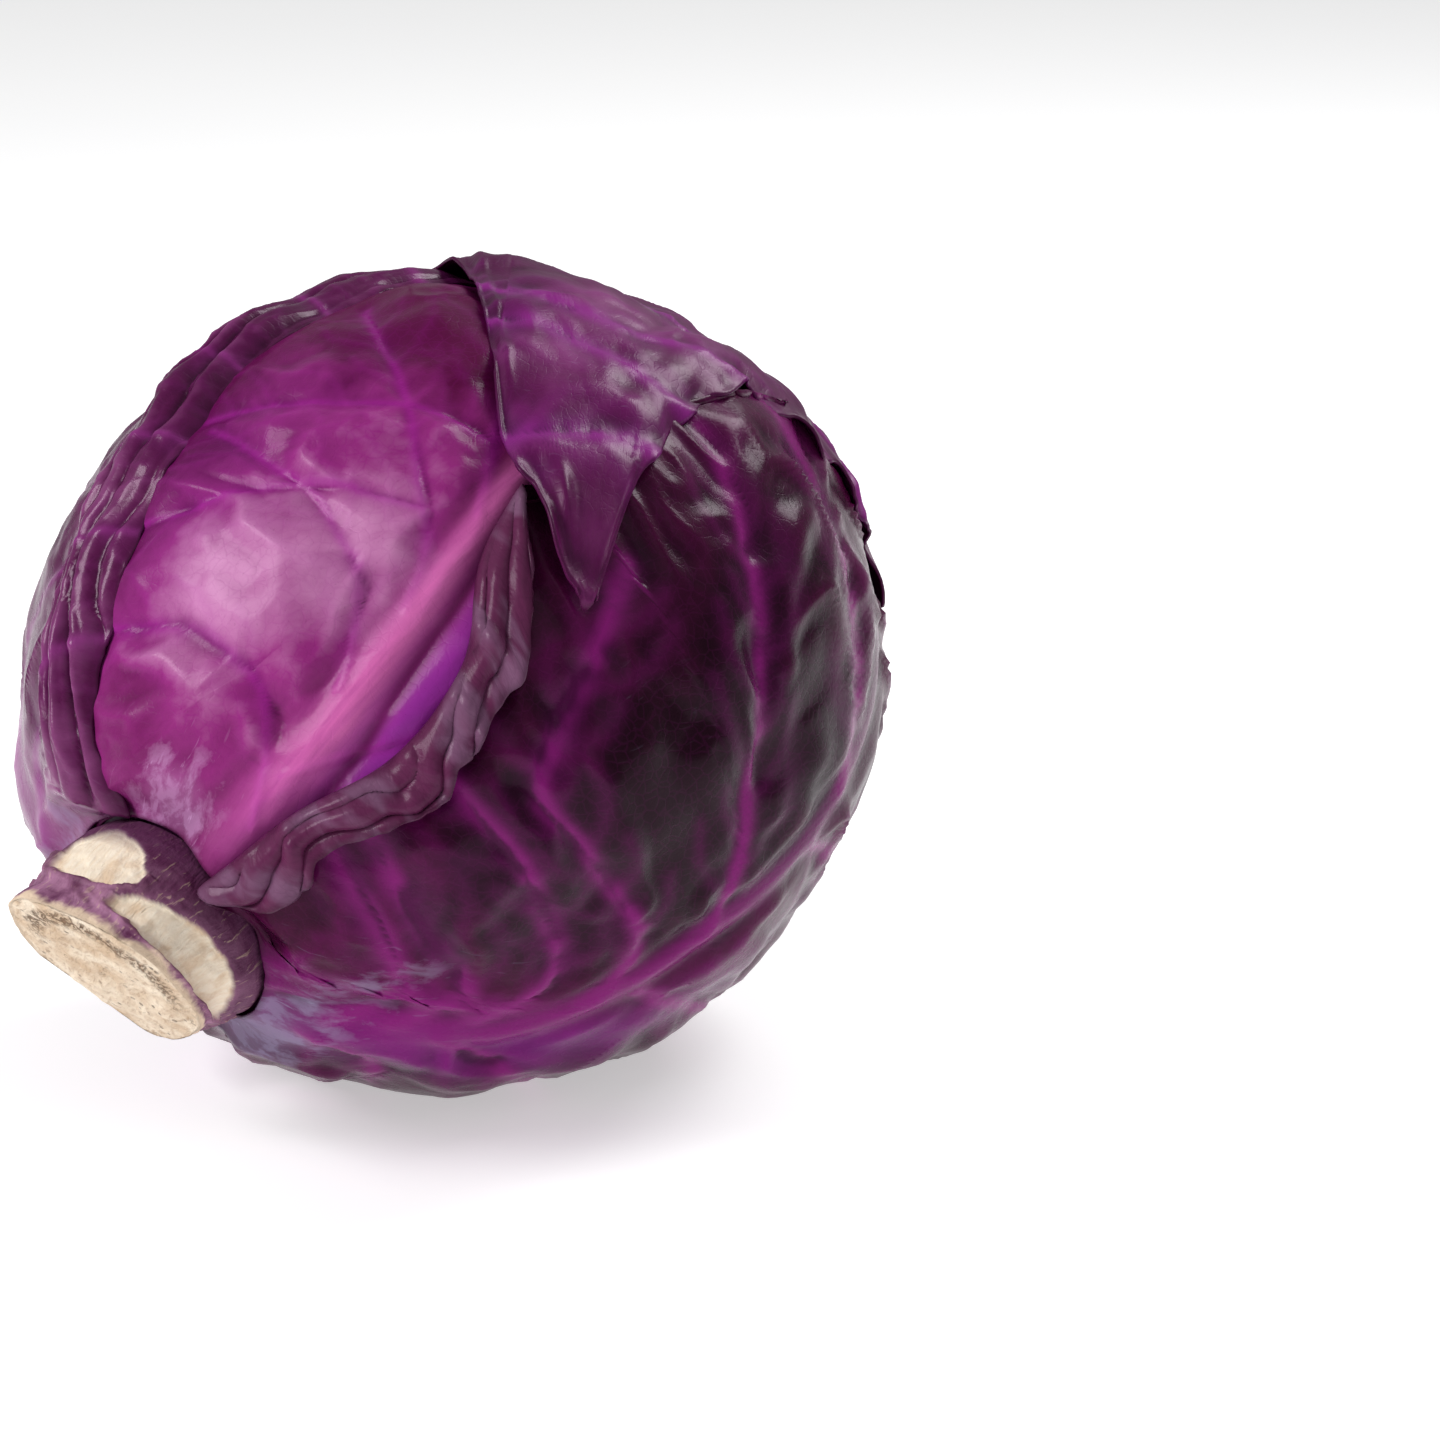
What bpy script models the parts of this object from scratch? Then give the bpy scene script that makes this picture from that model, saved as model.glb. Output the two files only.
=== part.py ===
"""Whole red cabbage lying on its side: cut stem, dense heart and five wrapping outer leaves.

The head is an ellipsoid whose stem axis leans back and to the right. Places on it are a
polar angle from the stem (0) to the crown (180) and a turn round the axis (0 is the meridian
that faces a viewer 16 degrees above the table). Each leaf is drawn flat, in millimetres,
with x towards the crown and y round the axis, and is then wrapped onto the head.
"""
from math import cos, pi, radians, sin

import bmesh
import bpy
import numpy as np

# Driving dimensions, in millimetres and degrees
MM = 0.001
EQUATOR_RADIUS = 78.4
POLE_RADIUS = 83.4
STRETCH = np.array([1.05, 1.00, 0.975])
AXIS_LIFT = 22.75
AXIS_HEADING = 49.4
VIEW_LIFT = 16.0
PLANE_RADIUS = 80.0
HEART_DEPTH = 5.0
HEART_END = 75.0
LEAF_THICKNESS = 1.0
LEAF_GAP = 0.5
DRAPE_LENGTH = 10.0
REST_DEPTH = 1.6
REST_CALM = (22.0, 36.0)
COLLAR_ANGLE = 16.6
STEM_RADIUS = 19.8
STEM_LENGTH = 96.0
STEM_CUT_SLOPE = (-0.20, 0.18)
STEM_FLAT = 0.84
RIM_BEND = 1.6
RIM_WIDTH = 15.0
RIM_FADE = 15.4
ROLL_FULL = 2.0
HEART_SEGMENTS = (28, 18)
STEM_SEGMENTS = 28

# Outlines are (turn, reach): turn 180 points to the stem, 0 to the crown
LEAVES = {
    "leaf_front": {
        "centre": (78, -14), "cells": 24, "lift": 0.5, "soften": 3.0,
        "outline": ((166, 108), (160, 103), (155, 94), (140, 82), (120, 67), (95, 62),
                    (65, 64), (30, 74), (0, 84), (-30, 92), (-50, 92), (-75, 80), (-100, 74),
                    (-125, 77), (-145, 88), (-158, 101), (-166, 110)),
        "midrib": ((-106, -1), (-88, 6), (-67, 8), (-47, 9), (-18, 6), (4, 2), (80, -8)),
        "rib": (3.2, 4.8),
        "veins": (((-72, 9), (-53, 0), (-48, -12), (-49, -32), (-60, -50)),
                  ((-42, 4), (-24, -4), (-18, -18), (-15, -29), (-12, -58)),
                  ((-22, 4), (-6, -5), (9, -25), (19, -39), (33, -60)),
                  ((14, -8), (13, -18), (5, -35), (-10, -62)),
                  ((-6, -7), (-11, -22), (-20, -38), (-40, -60)),
                  ((0, 2), (30, -18), (60, -50)), ((-60, 8), (-30, 30), (0, 50))),
        "puff": 1.9,
    },
    "leaf_under": {
        "centre": (80, 160), "cells": 18, "lift": 0.9, "soften": 3.0,
        "outline": ((166, 105), (140, 92), (110, 82), (80, 88), (50, 96),
                    (20, 104), (-10, 100), (-40, 94), (-70, 90), (-95, 84), (-120, 86),
                    (-145, 94), (-166, 105)),
        "midrib": ((-106, 0), (-50, 3), (0, 0), (90, 6)),
        "rib": (2.2, 4.5), "spacing": 26, "puff": 1.1,
    },
    "leaf_lower": {
        "centre": (80, 78), "cells": 26, "lift": 1.2, "soften": 2.5,
        "outline": ((166, 106), (158, 102), (145, 98), (120, 98), (90, 102),
                    (60, 98), (30, 104), (0, 112), (-30, 122), (-50, 130), (-70, 131), (-88, 126),
                    (-99, 120), (-108, 113), (-115, 101), (-125, 96), (-134, 95), (-147, 101),
                    (-158, 103), (-168, 107)),
        "midrib": ((-104, 5), (-82, 3), (-63, 0), (-46, -1), (-26, -10), (-10, -18), (40, -30),
                   (100, -40)),
        "rib": (2.2, 4.4),
        "veins": (((-76, -1), (-65, -12), (-66, -23), (-70, -36), (-78, -50)),
                  ((-64, -3), (-54, -12), (-55, -20), (-66, -41), (-74, -62)),
                  ((-50, -7), (-38, -16), (-37, -27), (-45, -49), (-56, -70)),
                  ((-30, -10), (-22, -25), (-30, -45), (-42, -66), (-32, -79), (-5, -100)),
                  ((-8, -18), (0, -45), (15, -75), (40, -110)),
                  ((30, -28), (50, -60), (75, -95)), ((-80, 4), (-60, 20), (-62, 45), (-80, 75)),
                  ((-55, 2), (-30, 25), (-25, 50), (-30, 90)), ((-20, -8), (5, 20), (20, 60), (20, 95)),
                  ((20, -20), (50, 15), (70, 60))),
        "puff": 1.4, "rolled": (-161, -93),
    },
    "leaf_left": {
        "centre": (80, -120), "cells": 24, "lift": 1.2, "soften": 2.5,
        "outline": ((166, 106), (152, 90), (142, 87), (122, 82), (100, 81),
                    (89, 81), (80, 85), (69, 89), (60, 95), (48, 104), (20, 106), (0, 104),
                    (-30, 98), (-60, 92), (-90, 90), (-120, 92), (-150, 96), (-166, 104)),
        "midrib": ((-106, 0), (-50, -4), (0, -6), (90, -2)),
        "rib": (2.2, 4.5), "spacing": 25, "puff": 1.0, "pleated": (44, 172, 26.0, 3, 2.8),
    },
    "leaf_top": {
        "centre": (145, -105), "cells": 26, "lift": 1.1, "soften": 0.8,
        "outline": ((80.4, 162), (82, 158), (84, 155), (86, 151), (87.8, 145), (90, 138), (93, 134),
                    (95, 122), (97, 105), (99, 89), (101, 78), (105, 60), (112, 51), (129, 47),
                    (159, 51), (175, 58), (187, 68), (197, 82), (206, 104), (211, 132),
                    (214, 160), (216, 188), (224, 194), (240, 174), (256, 146),
                    (270, 128), (285, 116), (305, 106), (330, 100), (350, 99), (10, 102), (20, 97),
                    (29, 99), (38, 94), (44, 99), (50, 95), (56, 98), (61, 96), (63, 101),
                    (69, 107), (71, 114), (74.5, 119), (75, 127), (78.2, 131.5), (79.2, 139), (79.4, 152)),
        "midrib": ((-178, -70), (-120, -38), (-60, -16), (0, 0), (60, 14), (100, 20)),
        "rib": (1.8, 5.0),
        "veins": (((-60, 30), (-17, 75), (4, 85), (22, 89), (60, 84)),
                  ((-40, 80), (12, 99), (26, 106), (42, 108)),
                  ((-40, 118), (-10, 127), (16, 123), (40, 124)),
                  ((0, 45), (30, 70), (41, 63), (70, 50)), ((-20, 5), (20, 35), (90, 45)),
                  ((-60, -12), (-30, -50), (20, -90)), ((-20, -4), (20, -40), (70, -70)),
                  ((-110, -34), (-80, -80), (-40, -120)), ((30, 6), (60, -15), (95, -30)),
                  ((-100, -20), (-70, 10), (-40, 36))),
        "puff": 1.4, "lifted": (66, 96, 3.0),
    },
}
ORDER = list(LEAVES)
COLOURS = {
    "stem": (0.62, 0.45, 0.30), "heart": (0.30, 0.05, 0.28), "leaf_front": (0.42, 0.05, 0.28),
    "leaf_under": (0.17, 0.02, 0.12), "leaf_lower": (0.18, 0.015, 0.12),
    "leaf_left": (0.22, 0.03, 0.16), "leaf_top": (0.20, 0.03, 0.15),
}


def smooth_step(low, high, value):
    """0 below low, 1 above high, with a smooth rise between."""
    t = np.clip((value - low) / (high - low), 0.0, 1.0)
    return t * t * (3.0 - 2.0 * t)


def head_axes():
    """Rows: the viewer's meridian, the quarter turn from it, and the axis from stem to crown."""
    lift, heading, view = radians(AXIS_LIFT), radians(AXIS_HEADING), radians(VIEW_LIFT)
    axis = np.array([cos(lift) * cos(heading), cos(lift) * sin(heading), sin(lift)])
    viewer = np.array([0.0, -cos(view), sin(view)])
    front = viewer - viewer.dot(axis) * axis
    front /= np.linalg.norm(front)
    return np.array([front, np.cross(axis, front), axis])


AXES = head_axes()
RADII = np.array([EQUATOR_RADIUS, EQUATOR_RADIUS, POLE_RADIUS])
LAYER = LEAF_THICKNESS + LEAF_GAP
REST_OFFSET = LEAVES["leaf_lower"]["lift"] - HEART_DEPTH + LAYER + LEAF_THICKNESS


def resting_place():
    """Head centre, and the direction from it, in head axes, of the spot that it rests on."""
    reach = (RADII + REST_OFFSET) * AXES[:, 2]
    spot = -reach / np.linalg.norm(reach)
    lowest = ((spot * (RADII + REST_OFFSET)) @ AXES) * STRETCH
    return np.array([-lowest[0], -lowest[1], -lowest[2] - REST_DEPTH]), spot


CENTRE, SPOT = resting_place()


def direction(polar, turn):
    """Unit direction in head axes of a polar angle and a turn, in degrees."""
    polar, turn = radians(polar), radians(turn)
    return np.array([sin(polar) * cos(turn), sin(polar) * sin(turn), -cos(polar)])


def leaf_frame(leaf):
    """The middle of a leaf and its x and y directions, in head axes."""
    polar, turn = (radians(angle) for angle in leaf["centre"])
    middle = direction(*leaf["centre"])
    x_way = np.array([cos(polar) * cos(turn), cos(polar) * sin(turn), sin(polar)])
    return middle, x_way, np.array([-sin(turn), cos(turn), 0.0])


def wrap(leaf, x, y):
    """Directions of flat leaf points: distances from the middle become arcs of the head."""
    middle, x_way, y_way = leaf_frame(leaf)
    arc = np.hypot(x, y) / PLANE_RADIUS
    share = np.sinc(arc / pi) / PLANE_RADIUS
    return (np.cos(arc)[:, None] * middle
            + (share * x)[:, None] * x_way + (share * y)[:, None] * y_way)


def unwrap(leaf, q):
    """Flat leaf points of directions: the inverse of wrap."""
    middle, x_way, y_way = leaf_frame(leaf)
    arc = np.arccos(np.clip(q @ middle, -1.0, 1.0))
    stretch = PLANE_RADIUS / np.maximum(np.sinc(arc / pi), 1e-3)
    return stretch * (q @ x_way), stretch * (q @ y_way)


def head_point(q, offset):
    """World points, in millimetres, at an offset from the head's ellipsoid."""
    normal = q / RADII
    normal /= np.linalg.norm(normal, axis=1, keepdims=True)
    return CENTRE + ((q * RADII + offset[:, None] * normal) @ AXES) * STRETCH


def settle(points):
    """Raise the stack of leaves over the resting spot so that its outside is flat there."""
    grid = (AXES / (RADII + REST_OFFSET)[:, None]) / STRETCH
    flat = (points[:, :2] - CENTRE[:2]) @ grid[:, :2].T
    a = grid[:, 2].dot(grid[:, 2])
    b = 2.0 * flat @ grid[:, 2]
    c = np.sum(flat * flat, axis=1) - 1.0
    under = CENTRE[2] + (-b - np.sqrt(np.maximum(b * b - 4.0 * a * c, 0.0))) / (2.0 * a)
    raised = points.copy()
    raised[:, 2] += np.maximum(-under, 0.0) * (1.0 - smooth_step(12.0, 45.0, points[:, 2]))
    raised[raised[:, 2] < 0.001, 2] = 0.0
    return raised


def reach_of(leaf, turn):
    """Distance from the leaf's middle to its edge, softened, and stopped at the stem's collar."""
    points = sorted((angle % 360, reach) for angle, reach in leaf["outline"])
    angles = np.arange(720) / 2.0
    table = np.interp(angles, *zip(*points), period=360)
    waves = np.fft.rfftfreq(720, d=0.5) * 2.0 * pi
    table = np.fft.irfft(np.fft.rfft(table) * np.exp(-0.5 * (waves * leaf["soften"]) ** 2), 720)
    reach = np.interp(np.degrees(turn) % 360, angles, table, period=360)
    polar, collar = radians(leaf["centre"][0]), radians(COLLAR_ANGLE)
    across = -sin(polar) * np.cos(turn)
    size = np.hypot(across, cos(polar))
    stop = np.arctan2(across, cos(polar)) - np.arccos(np.clip(cos(collar) / size, -1.0, 1.0))
    meets = (size > cos(collar)) & (across > 0.0)
    return np.where(meets, np.minimum(reach, PLANE_RADIUS * stop), reach)


def side_veins(leaf):
    """Side veins that leave the midrib at even steps and bend towards the tip."""
    if "spacing" not in leaf:
        return leaf["veins"]
    xs, ys = zip(*leaf["midrib"])
    veins = []
    for start in range(-80, 80, leaf["spacing"]):
        root = np.interp(start, xs, ys)
        for side in (-1, 1):
            veins.append([(start + lean, root + side * out)
                          for lean, out in ((0, 0), (12, 16), (17, 40), (12, 70), (0, 100))])
    return veins


def distance_to_lines(lines, x, y, squeeze):
    """Distance from points to the nearest of several polylines."""
    nearest = np.full(len(x), 1e3)
    for line in lines:
        for (x0, y0), (x1, y1) in zip(line[:-1], line[1:]):
            dx, dy = x1 - x0, y1 - y0
            along = np.clip(((x - x0) * dx + (y - y0) * dy) / (dx * dx + dy * dy), 0.0, 1.0)
            gap = np.hypot(x - x0 - along * dx, y - y0 - along * dy) * squeeze
            nearest = np.minimum(nearest, gap)
    return nearest


def within(turn, low, high, fade):
    """1 where a turn lies between two angles, in degrees, fading to 0 at both ends."""
    angle = np.degrees(turn)
    return smooth_step(low, low + fade, angle) * (1.0 - smooth_step(high - fade, high, angle))


def rim_width(leaf, turn):
    """Width of the band of a leaf's edge that is rolled back over its outside."""
    if "rolled" not in leaf:
        return np.zeros_like(turn)
    low, high = leaf["rolled"]
    ripple = 1.0 + 0.14 * np.sin(np.degrees(turn) * 0.42) + 0.07 * np.sin(np.degrees(turn) * 1.1)
    return RIM_WIDTH * ripple * within(turn, low, high, RIM_FADE)


def relief(leaf, x, y, q):
    """Height of the midrib, the panels puffed between veins, the pleats and the wavy edge."""
    reach, turn = np.hypot(x, y), np.arctan2(y, x)
    edge = reach_of(leaf, turn) - reach
    squeeze = np.abs(np.sinc(reach / PLANE_RADIUS / pi))
    rib_x, rib_y = zip(*leaf["midrib"])
    aside = (y - np.interp(x, rib_x, rib_y)) * squeeze
    high, wide = leaf["rib"]
    base = smooth_step(-20.0, rib_x[0], x)
    spread = wide * (1.0 + 0.8 * base)
    fade = smooth_step(rib_x[-1], rib_x[0], x) * 0.75 + 0.25
    height = high * fade * np.exp(-(aside / spread) ** 2)
    vein_gap = distance_to_lines(side_veins(leaf), x, y, squeeze)
    panel = (1.0 - np.exp(-(vein_gap / 7.0) ** 2)) * smooth_step(3.0, 11.0, np.abs(aside))
    height += leaf["puff"] * panel * smooth_step(2.0, 16.0, edge)
    if "pleated" in leaf:
        low, high_turn, band, folds, size = leaf["pleated"]
        depth = np.clip(edge / band, 0.0, 1.0)
        fold = 0.5 - 0.5 * np.cos(2.0 * pi * folds * depth)
        height += size * fold * within(turn, low, high_turn, 18.0)
    if "lifted" in leaf:
        low, high_turn, size = leaf["lifted"]
        height += size * within(turn, low, high_turn, 10.0) * smooth_step(105.0, 165.0, reach)
    wave = 0.5 + 0.5 * np.sin(turn * 17.0) * np.cos(turn * 6.0 + 1.0)
    height += 0.9 * wave * (1.0 - smooth_step(0.0, 18.0, edge))
    away = PLANE_RADIUS * np.arccos(np.clip(q @ SPOT, -1.0, 1.0))
    return height * smooth_step(*REST_CALM, away)


def cover(leaf, q):
    """How much a leaf raises what lies on it: its thickness, relief and rolled edge."""
    x, y = unwrap(leaf, q)
    reach, turn = np.hypot(x, y), np.arctan2(y, x)
    past = reach - reach_of(leaf, turn)
    share = 1.0 - smooth_step(0.0, DRAPE_LENGTH, past)
    width = rim_width(leaf, turn)
    rim = smooth_step(0.5, 4.0, width) * smooth_step(-width - 5.0, -width, past)
    return share * (LAYER + relief(leaf, x, y, q) + rim * (2.0 * RIM_BEND + LAYER))


def stack_height(name, q):
    """Height of a leaf's inside over the heart: the highest cover near by of each lower leaf."""
    leaf = LEAVES[name]
    height = np.full(len(q), leaf["lift"] - HEART_DEPTH)
    nudges = [(0.0, 0.0)] + [(5.0 * cos(k * pi / 4), 5.0 * sin(k * pi / 4)) for k in range(8)]
    x, y = unwrap(leaf, q)
    for lower in ORDER[:ORDER.index(name)]:
        covers = [cover(LEAVES[lower], wrap(leaf, x + dx, y + dy)) for dx, dy in nudges]
        height += np.max(covers, axis=0)
    return height


def even_turns(leaf, share):
    """Turns for shares from -1 to 1 of the outline's length, so that no edge is coarse."""
    turns = np.linspace(-pi, pi, 1441)
    reach = reach_of(leaf, turns)
    steps = np.hypot(np.diff(reach), 0.5 * (reach[1:] + reach[:-1]) * np.diff(turns)) + 0.15
    result = np.empty_like(share)
    for side, part in ((share <= 0.0, slice(0, 720)), (share > 0.0, slice(720, 1440))):
        length = np.concatenate([[0.0], np.cumsum(steps[part])]) / np.sum(steps[part])
        ends = turns[part.start:part.stop + 1]
        fraction = share[side] + 1.0 if part.start == 0 else share[side]
        result[side] = np.interp(fraction, length, ends)
    return result


def square_to_disc(u, v):
    """Ring (0 to 1) and share of a turn (-1 to 1) of points of a square grid."""
    ring = np.maximum(np.abs(u), np.abs(v))
    safe = np.maximum(ring, 1e-9)
    side = np.where(np.abs(u) >= np.abs(v), v / safe, np.sign(v) * (2.0 - u / safe))
    share = np.where((np.abs(u) >= np.abs(v)) & (u < 0.0), np.where(v < 0.0, -4.0, 4.0) - side, side)
    return ring, share / 4.0


def rings(leaf, ring, total, width):
    """Distance along each ray for a ring: even, or gathered where the edge rolls or pleats."""
    knots = np.linspace(0.0, 1.0, leaf["cells"] // 2 + 1)
    if "pleated" in leaf:
        band = leaf["pleated"][2]
        inner = len(knots) // 2
        return np.where(ring <= knots[inner], ring / knots[inner] * (total - band),
                        total - band * (1.0 - ring) / (1.0 - knots[inner]))
    if "rolled" not in leaf:
        return ring * total
    half_turn = pi * RIM_BEND
    places = (0.0, 0.5 * half_turn, half_turn, 0.5 * (half_turn + RIM_WIDTH), RIM_WIDTH)
    band = np.where(width > 0.0, np.maximum(width, 0.3 * RIM_WIDTH), 0.6 * RIM_WIDTH)
    rolled = total - band * (1.0 - np.interp(ring, knots[-5:], np.array(places) / RIM_WIDTH))
    return np.where(ring < knots[-5], ring / knots[-5] * (total - band), rolled)


def roll_back(along, fold, width):
    """Place and height of points past the fold line: a half turn, then flat and closing."""
    past = np.maximum(along - fold, 0.0)
    turned = pi * smooth_step(0.0, ROLL_FULL, width)
    angle = np.minimum(past / RIM_BEND, turned)
    after = past - angle * RIM_BEND
    place = np.minimum(along, fold) + RIM_BEND * np.sin(angle) + after * np.cos(turned)
    closing = 0.6 * smooth_step(0.0, 10.0, after)
    return place, RIM_BEND * (1.0 - np.cos(angle)) + after * np.sin(turned) - closing


def leaf_surface(name, u, v):
    """World points of a leaf's outer face for grid points u, v in -1..1."""
    leaf = LEAVES[name]
    ring, share = square_to_disc(u, v)
    turn = even_turns(leaf, share)
    fold = reach_of(leaf, turn)
    width = rim_width(leaf, turn)
    along = rings(leaf, ring, fold + width, width)
    reach, rise = roll_back(along, fold, width)
    x, y = reach * np.cos(turn), reach * np.sin(turn)
    rib_x, rib_y = zip(*leaf["midrib"])
    y = y + np.interp(x, rib_x, rib_y) * np.clip(1.0 - ring * 1.4, 0.0, 1.0)
    q = wrap(leaf, x, y)
    q /= np.linalg.norm(q, axis=1, keepdims=True)
    offset = stack_height(name, q) + LEAF_THICKNESS + relief(leaf, x, y, q) + rise
    return settle(head_point(q, offset))


def add_object(name, mesh_data, smooth_angle):
    """Link a finished mesh as a named object with its own material."""
    mesh = bpy.data.meshes.new(name)
    mesh_data.to_mesh(mesh)
    mesh_data.free()
    material = bpy.data.materials.new(name)
    material.use_nodes = True
    shader = material.node_tree.nodes["Principled BSDF"]
    shader.inputs["Base Color"].default_value = (*COLOURS[name], 1.0)
    shader.inputs["Roughness"].default_value = 0.85 if name == "stem" else 0.45
    shader.inputs["Metallic"].default_value = 0.0
    mesh.materials.append(material)
    mesh.shade_smooth()
    mesh.set_sharp_from_angle(angle=radians(smooth_angle))
    piece = bpy.data.objects.new(name, mesh)
    CABBAGE.objects.link(piece)
    return piece


def move_vertices(mesh_data, points):
    """Put each vertex at its worked-out place, given in millimetres."""
    for vertex, place in zip(mesh_data.verts, points * MM):
        vertex.co = place


def make_leaf(name):
    """A grid moved onto the head, split into triangles and given its thickness inwards."""
    cells = LEAVES[name]["cells"]
    grid = bmesh.new()
    bmesh.ops.create_grid(grid, x_segments=cells, y_segments=cells, size=1.0)
    flat = np.array([vertex.co[:2] for vertex in grid.verts])
    move_vertices(grid, leaf_surface(name, flat[:, 0], flat[:, 1]))
    bmesh.ops.triangulate(grid, faces=grid.faces[:], quad_method="SHORT_EDGE")
    bmesh.ops.reverse_faces(grid, faces=grid.faces[:])
    piece = add_object(name, grid, 60)
    wall = piece.modifiers.new("thickness", "SOLIDIFY")
    wall.thickness = LEAF_THICKNESS * MM
    wall.offset = -1.0


def make_heart():
    """A sphere moved onto the ellipsoid under the leaves, cut flat where the stem starts."""
    ball = bmesh.new()
    bmesh.ops.create_uvsphere(ball, u_segments=HEART_SEGMENTS[0], v_segments=HEART_SEGMENTS[1],
                              radius=1.0)
    q = np.array([vertex.co[:] for vertex in ball.verts])
    q /= np.linalg.norm(q, axis=1, keepdims=True)
    swirl = np.sin(3.0 * np.arctan2(q[:, 1], q[:, 0]) + 4.0 * q[:, 2])
    points = head_point(q, -HEART_DEPTH - 0.25 + 0.2 * swirl)
    flat = (points - CENTRE) / STRETCH @ AXES.T
    flat[:, 2] = np.maximum(flat[:, 2], -HEART_END)
    move_vertices(ball, settle(CENTRE + (flat @ AXES) * STRETCH))
    add_object("heart", ball, 60)


def flattened(radius, turn, share):
    """The stem's radius, cut straight on its lower side towards its outer end."""
    straight = STEM_FLAT * STEM_RADIUS / np.maximum(-np.cos(turn), 0.2)
    return radius + (np.minimum(radius, straight) - radius) * smooth_step(0.2, 0.6, share)


def make_stem():
    """A turned stub: a sphere's rings become an inner end, a knobbly side and a slanted cut."""
    ball = bmesh.new()
    bmesh.ops.create_uvsphere(ball, u_segments=STEM_SEGMENTS, v_segments=12, radius=1.0)
    q = np.array([vertex.co[:] for vertex in ball.verts])
    turn = np.arctan2(q[:, 1], q[:, 0])
    level = np.round(np.arccos(np.clip(q[:, 2], -1.0, 1.0)) / pi * 12)
    start = HEART_END + 0.4
    profile = ((0, 0.0, 0.0), (1, 0.55, 0.0), (2, 1.02, 0.0), (3, 1.05, 0.16), (4, 1.07, 0.32),
               (5, 1.06, 0.48), (6, 1.03, 0.64), (7, 0.98, 0.78), (8, 1.01, 0.90), (9, 0.97, 1.0),
               (10, 0.70, 1.0), (11, 0.36, 0.985), (12, 0.0, 0.98))
    steps, widths, depths = zip(*profile)
    radius = STEM_RADIUS * np.interp(level, steps, widths)
    share = np.interp(level, steps, depths)
    knobs = np.sin(3.0 * turn + 0.6) * 0.035 + np.sin(5.0 * turn + 2.0) * 0.02
    radius *= 1.0 + knobs * smooth_step(0.3, 0.7, share)
    radius = flattened(radius, turn, share)
    x, y = radius * np.cos(turn), radius * np.sin(turn)
    slope = STEM_CUT_SLOPE[0] * x + STEM_CUT_SLOPE[1] * y
    z = -start - (STEM_LENGTH - start - slope) * share
    local = np.column_stack([x, y, z])
    move_vertices(ball, CENTRE + (local @ AXES) * STRETCH)
    add_object("stem", ball, 40)


for old in list(bpy.data.objects):
    bpy.data.objects.remove(old, do_unlink=True)
CABBAGE = bpy.data.collections.new("red_cabbage")
bpy.context.scene.collection.children.link(CABBAGE)
make_stem()
make_heart()
for leaf_name in LEAVES:
    make_leaf(leaf_name)
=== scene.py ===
"""Red cabbage on a pale floor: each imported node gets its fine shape, colours and gloss.

Places on the head are a polar angle from the stem (0) to the crown (180) and a turn round its
axis (0 faces the camera). Each leaf is drawn flat, in millimetres, with x towards the crown and
y round the axis, and is then wrapped onto the head. Solidify gives it its thickness.
"""

from math import cos, pi, radians, sin

import bpy
import numpy as np
from mathutils import Matrix, Vector


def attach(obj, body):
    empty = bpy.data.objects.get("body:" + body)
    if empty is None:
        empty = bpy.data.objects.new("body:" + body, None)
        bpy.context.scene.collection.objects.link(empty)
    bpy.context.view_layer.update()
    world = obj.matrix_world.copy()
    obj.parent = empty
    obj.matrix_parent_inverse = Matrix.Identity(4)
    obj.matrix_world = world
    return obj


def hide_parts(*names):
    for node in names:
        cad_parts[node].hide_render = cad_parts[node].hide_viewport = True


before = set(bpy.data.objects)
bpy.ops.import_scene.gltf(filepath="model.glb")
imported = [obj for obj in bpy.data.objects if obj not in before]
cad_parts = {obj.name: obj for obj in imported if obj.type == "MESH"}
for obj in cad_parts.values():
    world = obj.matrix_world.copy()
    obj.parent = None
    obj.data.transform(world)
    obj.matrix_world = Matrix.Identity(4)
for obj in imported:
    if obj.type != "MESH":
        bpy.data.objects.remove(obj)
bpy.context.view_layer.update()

# Driving dimensions, in millimetres and degrees
MM = 0.001
EQUATOR_RADIUS = 78.4
POLE_RADIUS = 83.4
STRETCH = np.array([1.05, 1.00, 0.975])
AXIS_LIFT = 22.75
AXIS_HEADING = 49.4
VIEW_LIFT = 16.0
PLANE_RADIUS = 80.0
HEART_DEPTH = 5.0
HEART_END = 75.0
LEAF_THICKNESS = 1.0
LEAF_GAP = 0.5
DRAPE_LENGTH = 10.0
REST_DEPTH = 1.6
REST_CALM = (22.0, 36.0)
COLLAR_ANGLE = 16.6
STEM_RADIUS = 19.8
STEM_LENGTH = 96.0
STEM_CUT_SLOPE = (-0.20, 0.18)
STEM_FLAT = 0.84
RIM_BEND = 1.6
RIM_WIDTH = 15.0
RIM_FADE = 15.4
ROLL_FULL = 2.0
EDGE_WAVE = 0.9
EDGE_LIP = 0.3
EDGE_THINNING = 0.6
VEIN_WIDTHS = (0.40, 0.55)
TWIG_WIDTH = 0.7
GLOW_WIDTH = 3.0
VEIN_WANDER = 1.3
NOISE_TABLE = 61
HALF_TURN_STEPS = 720

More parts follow.
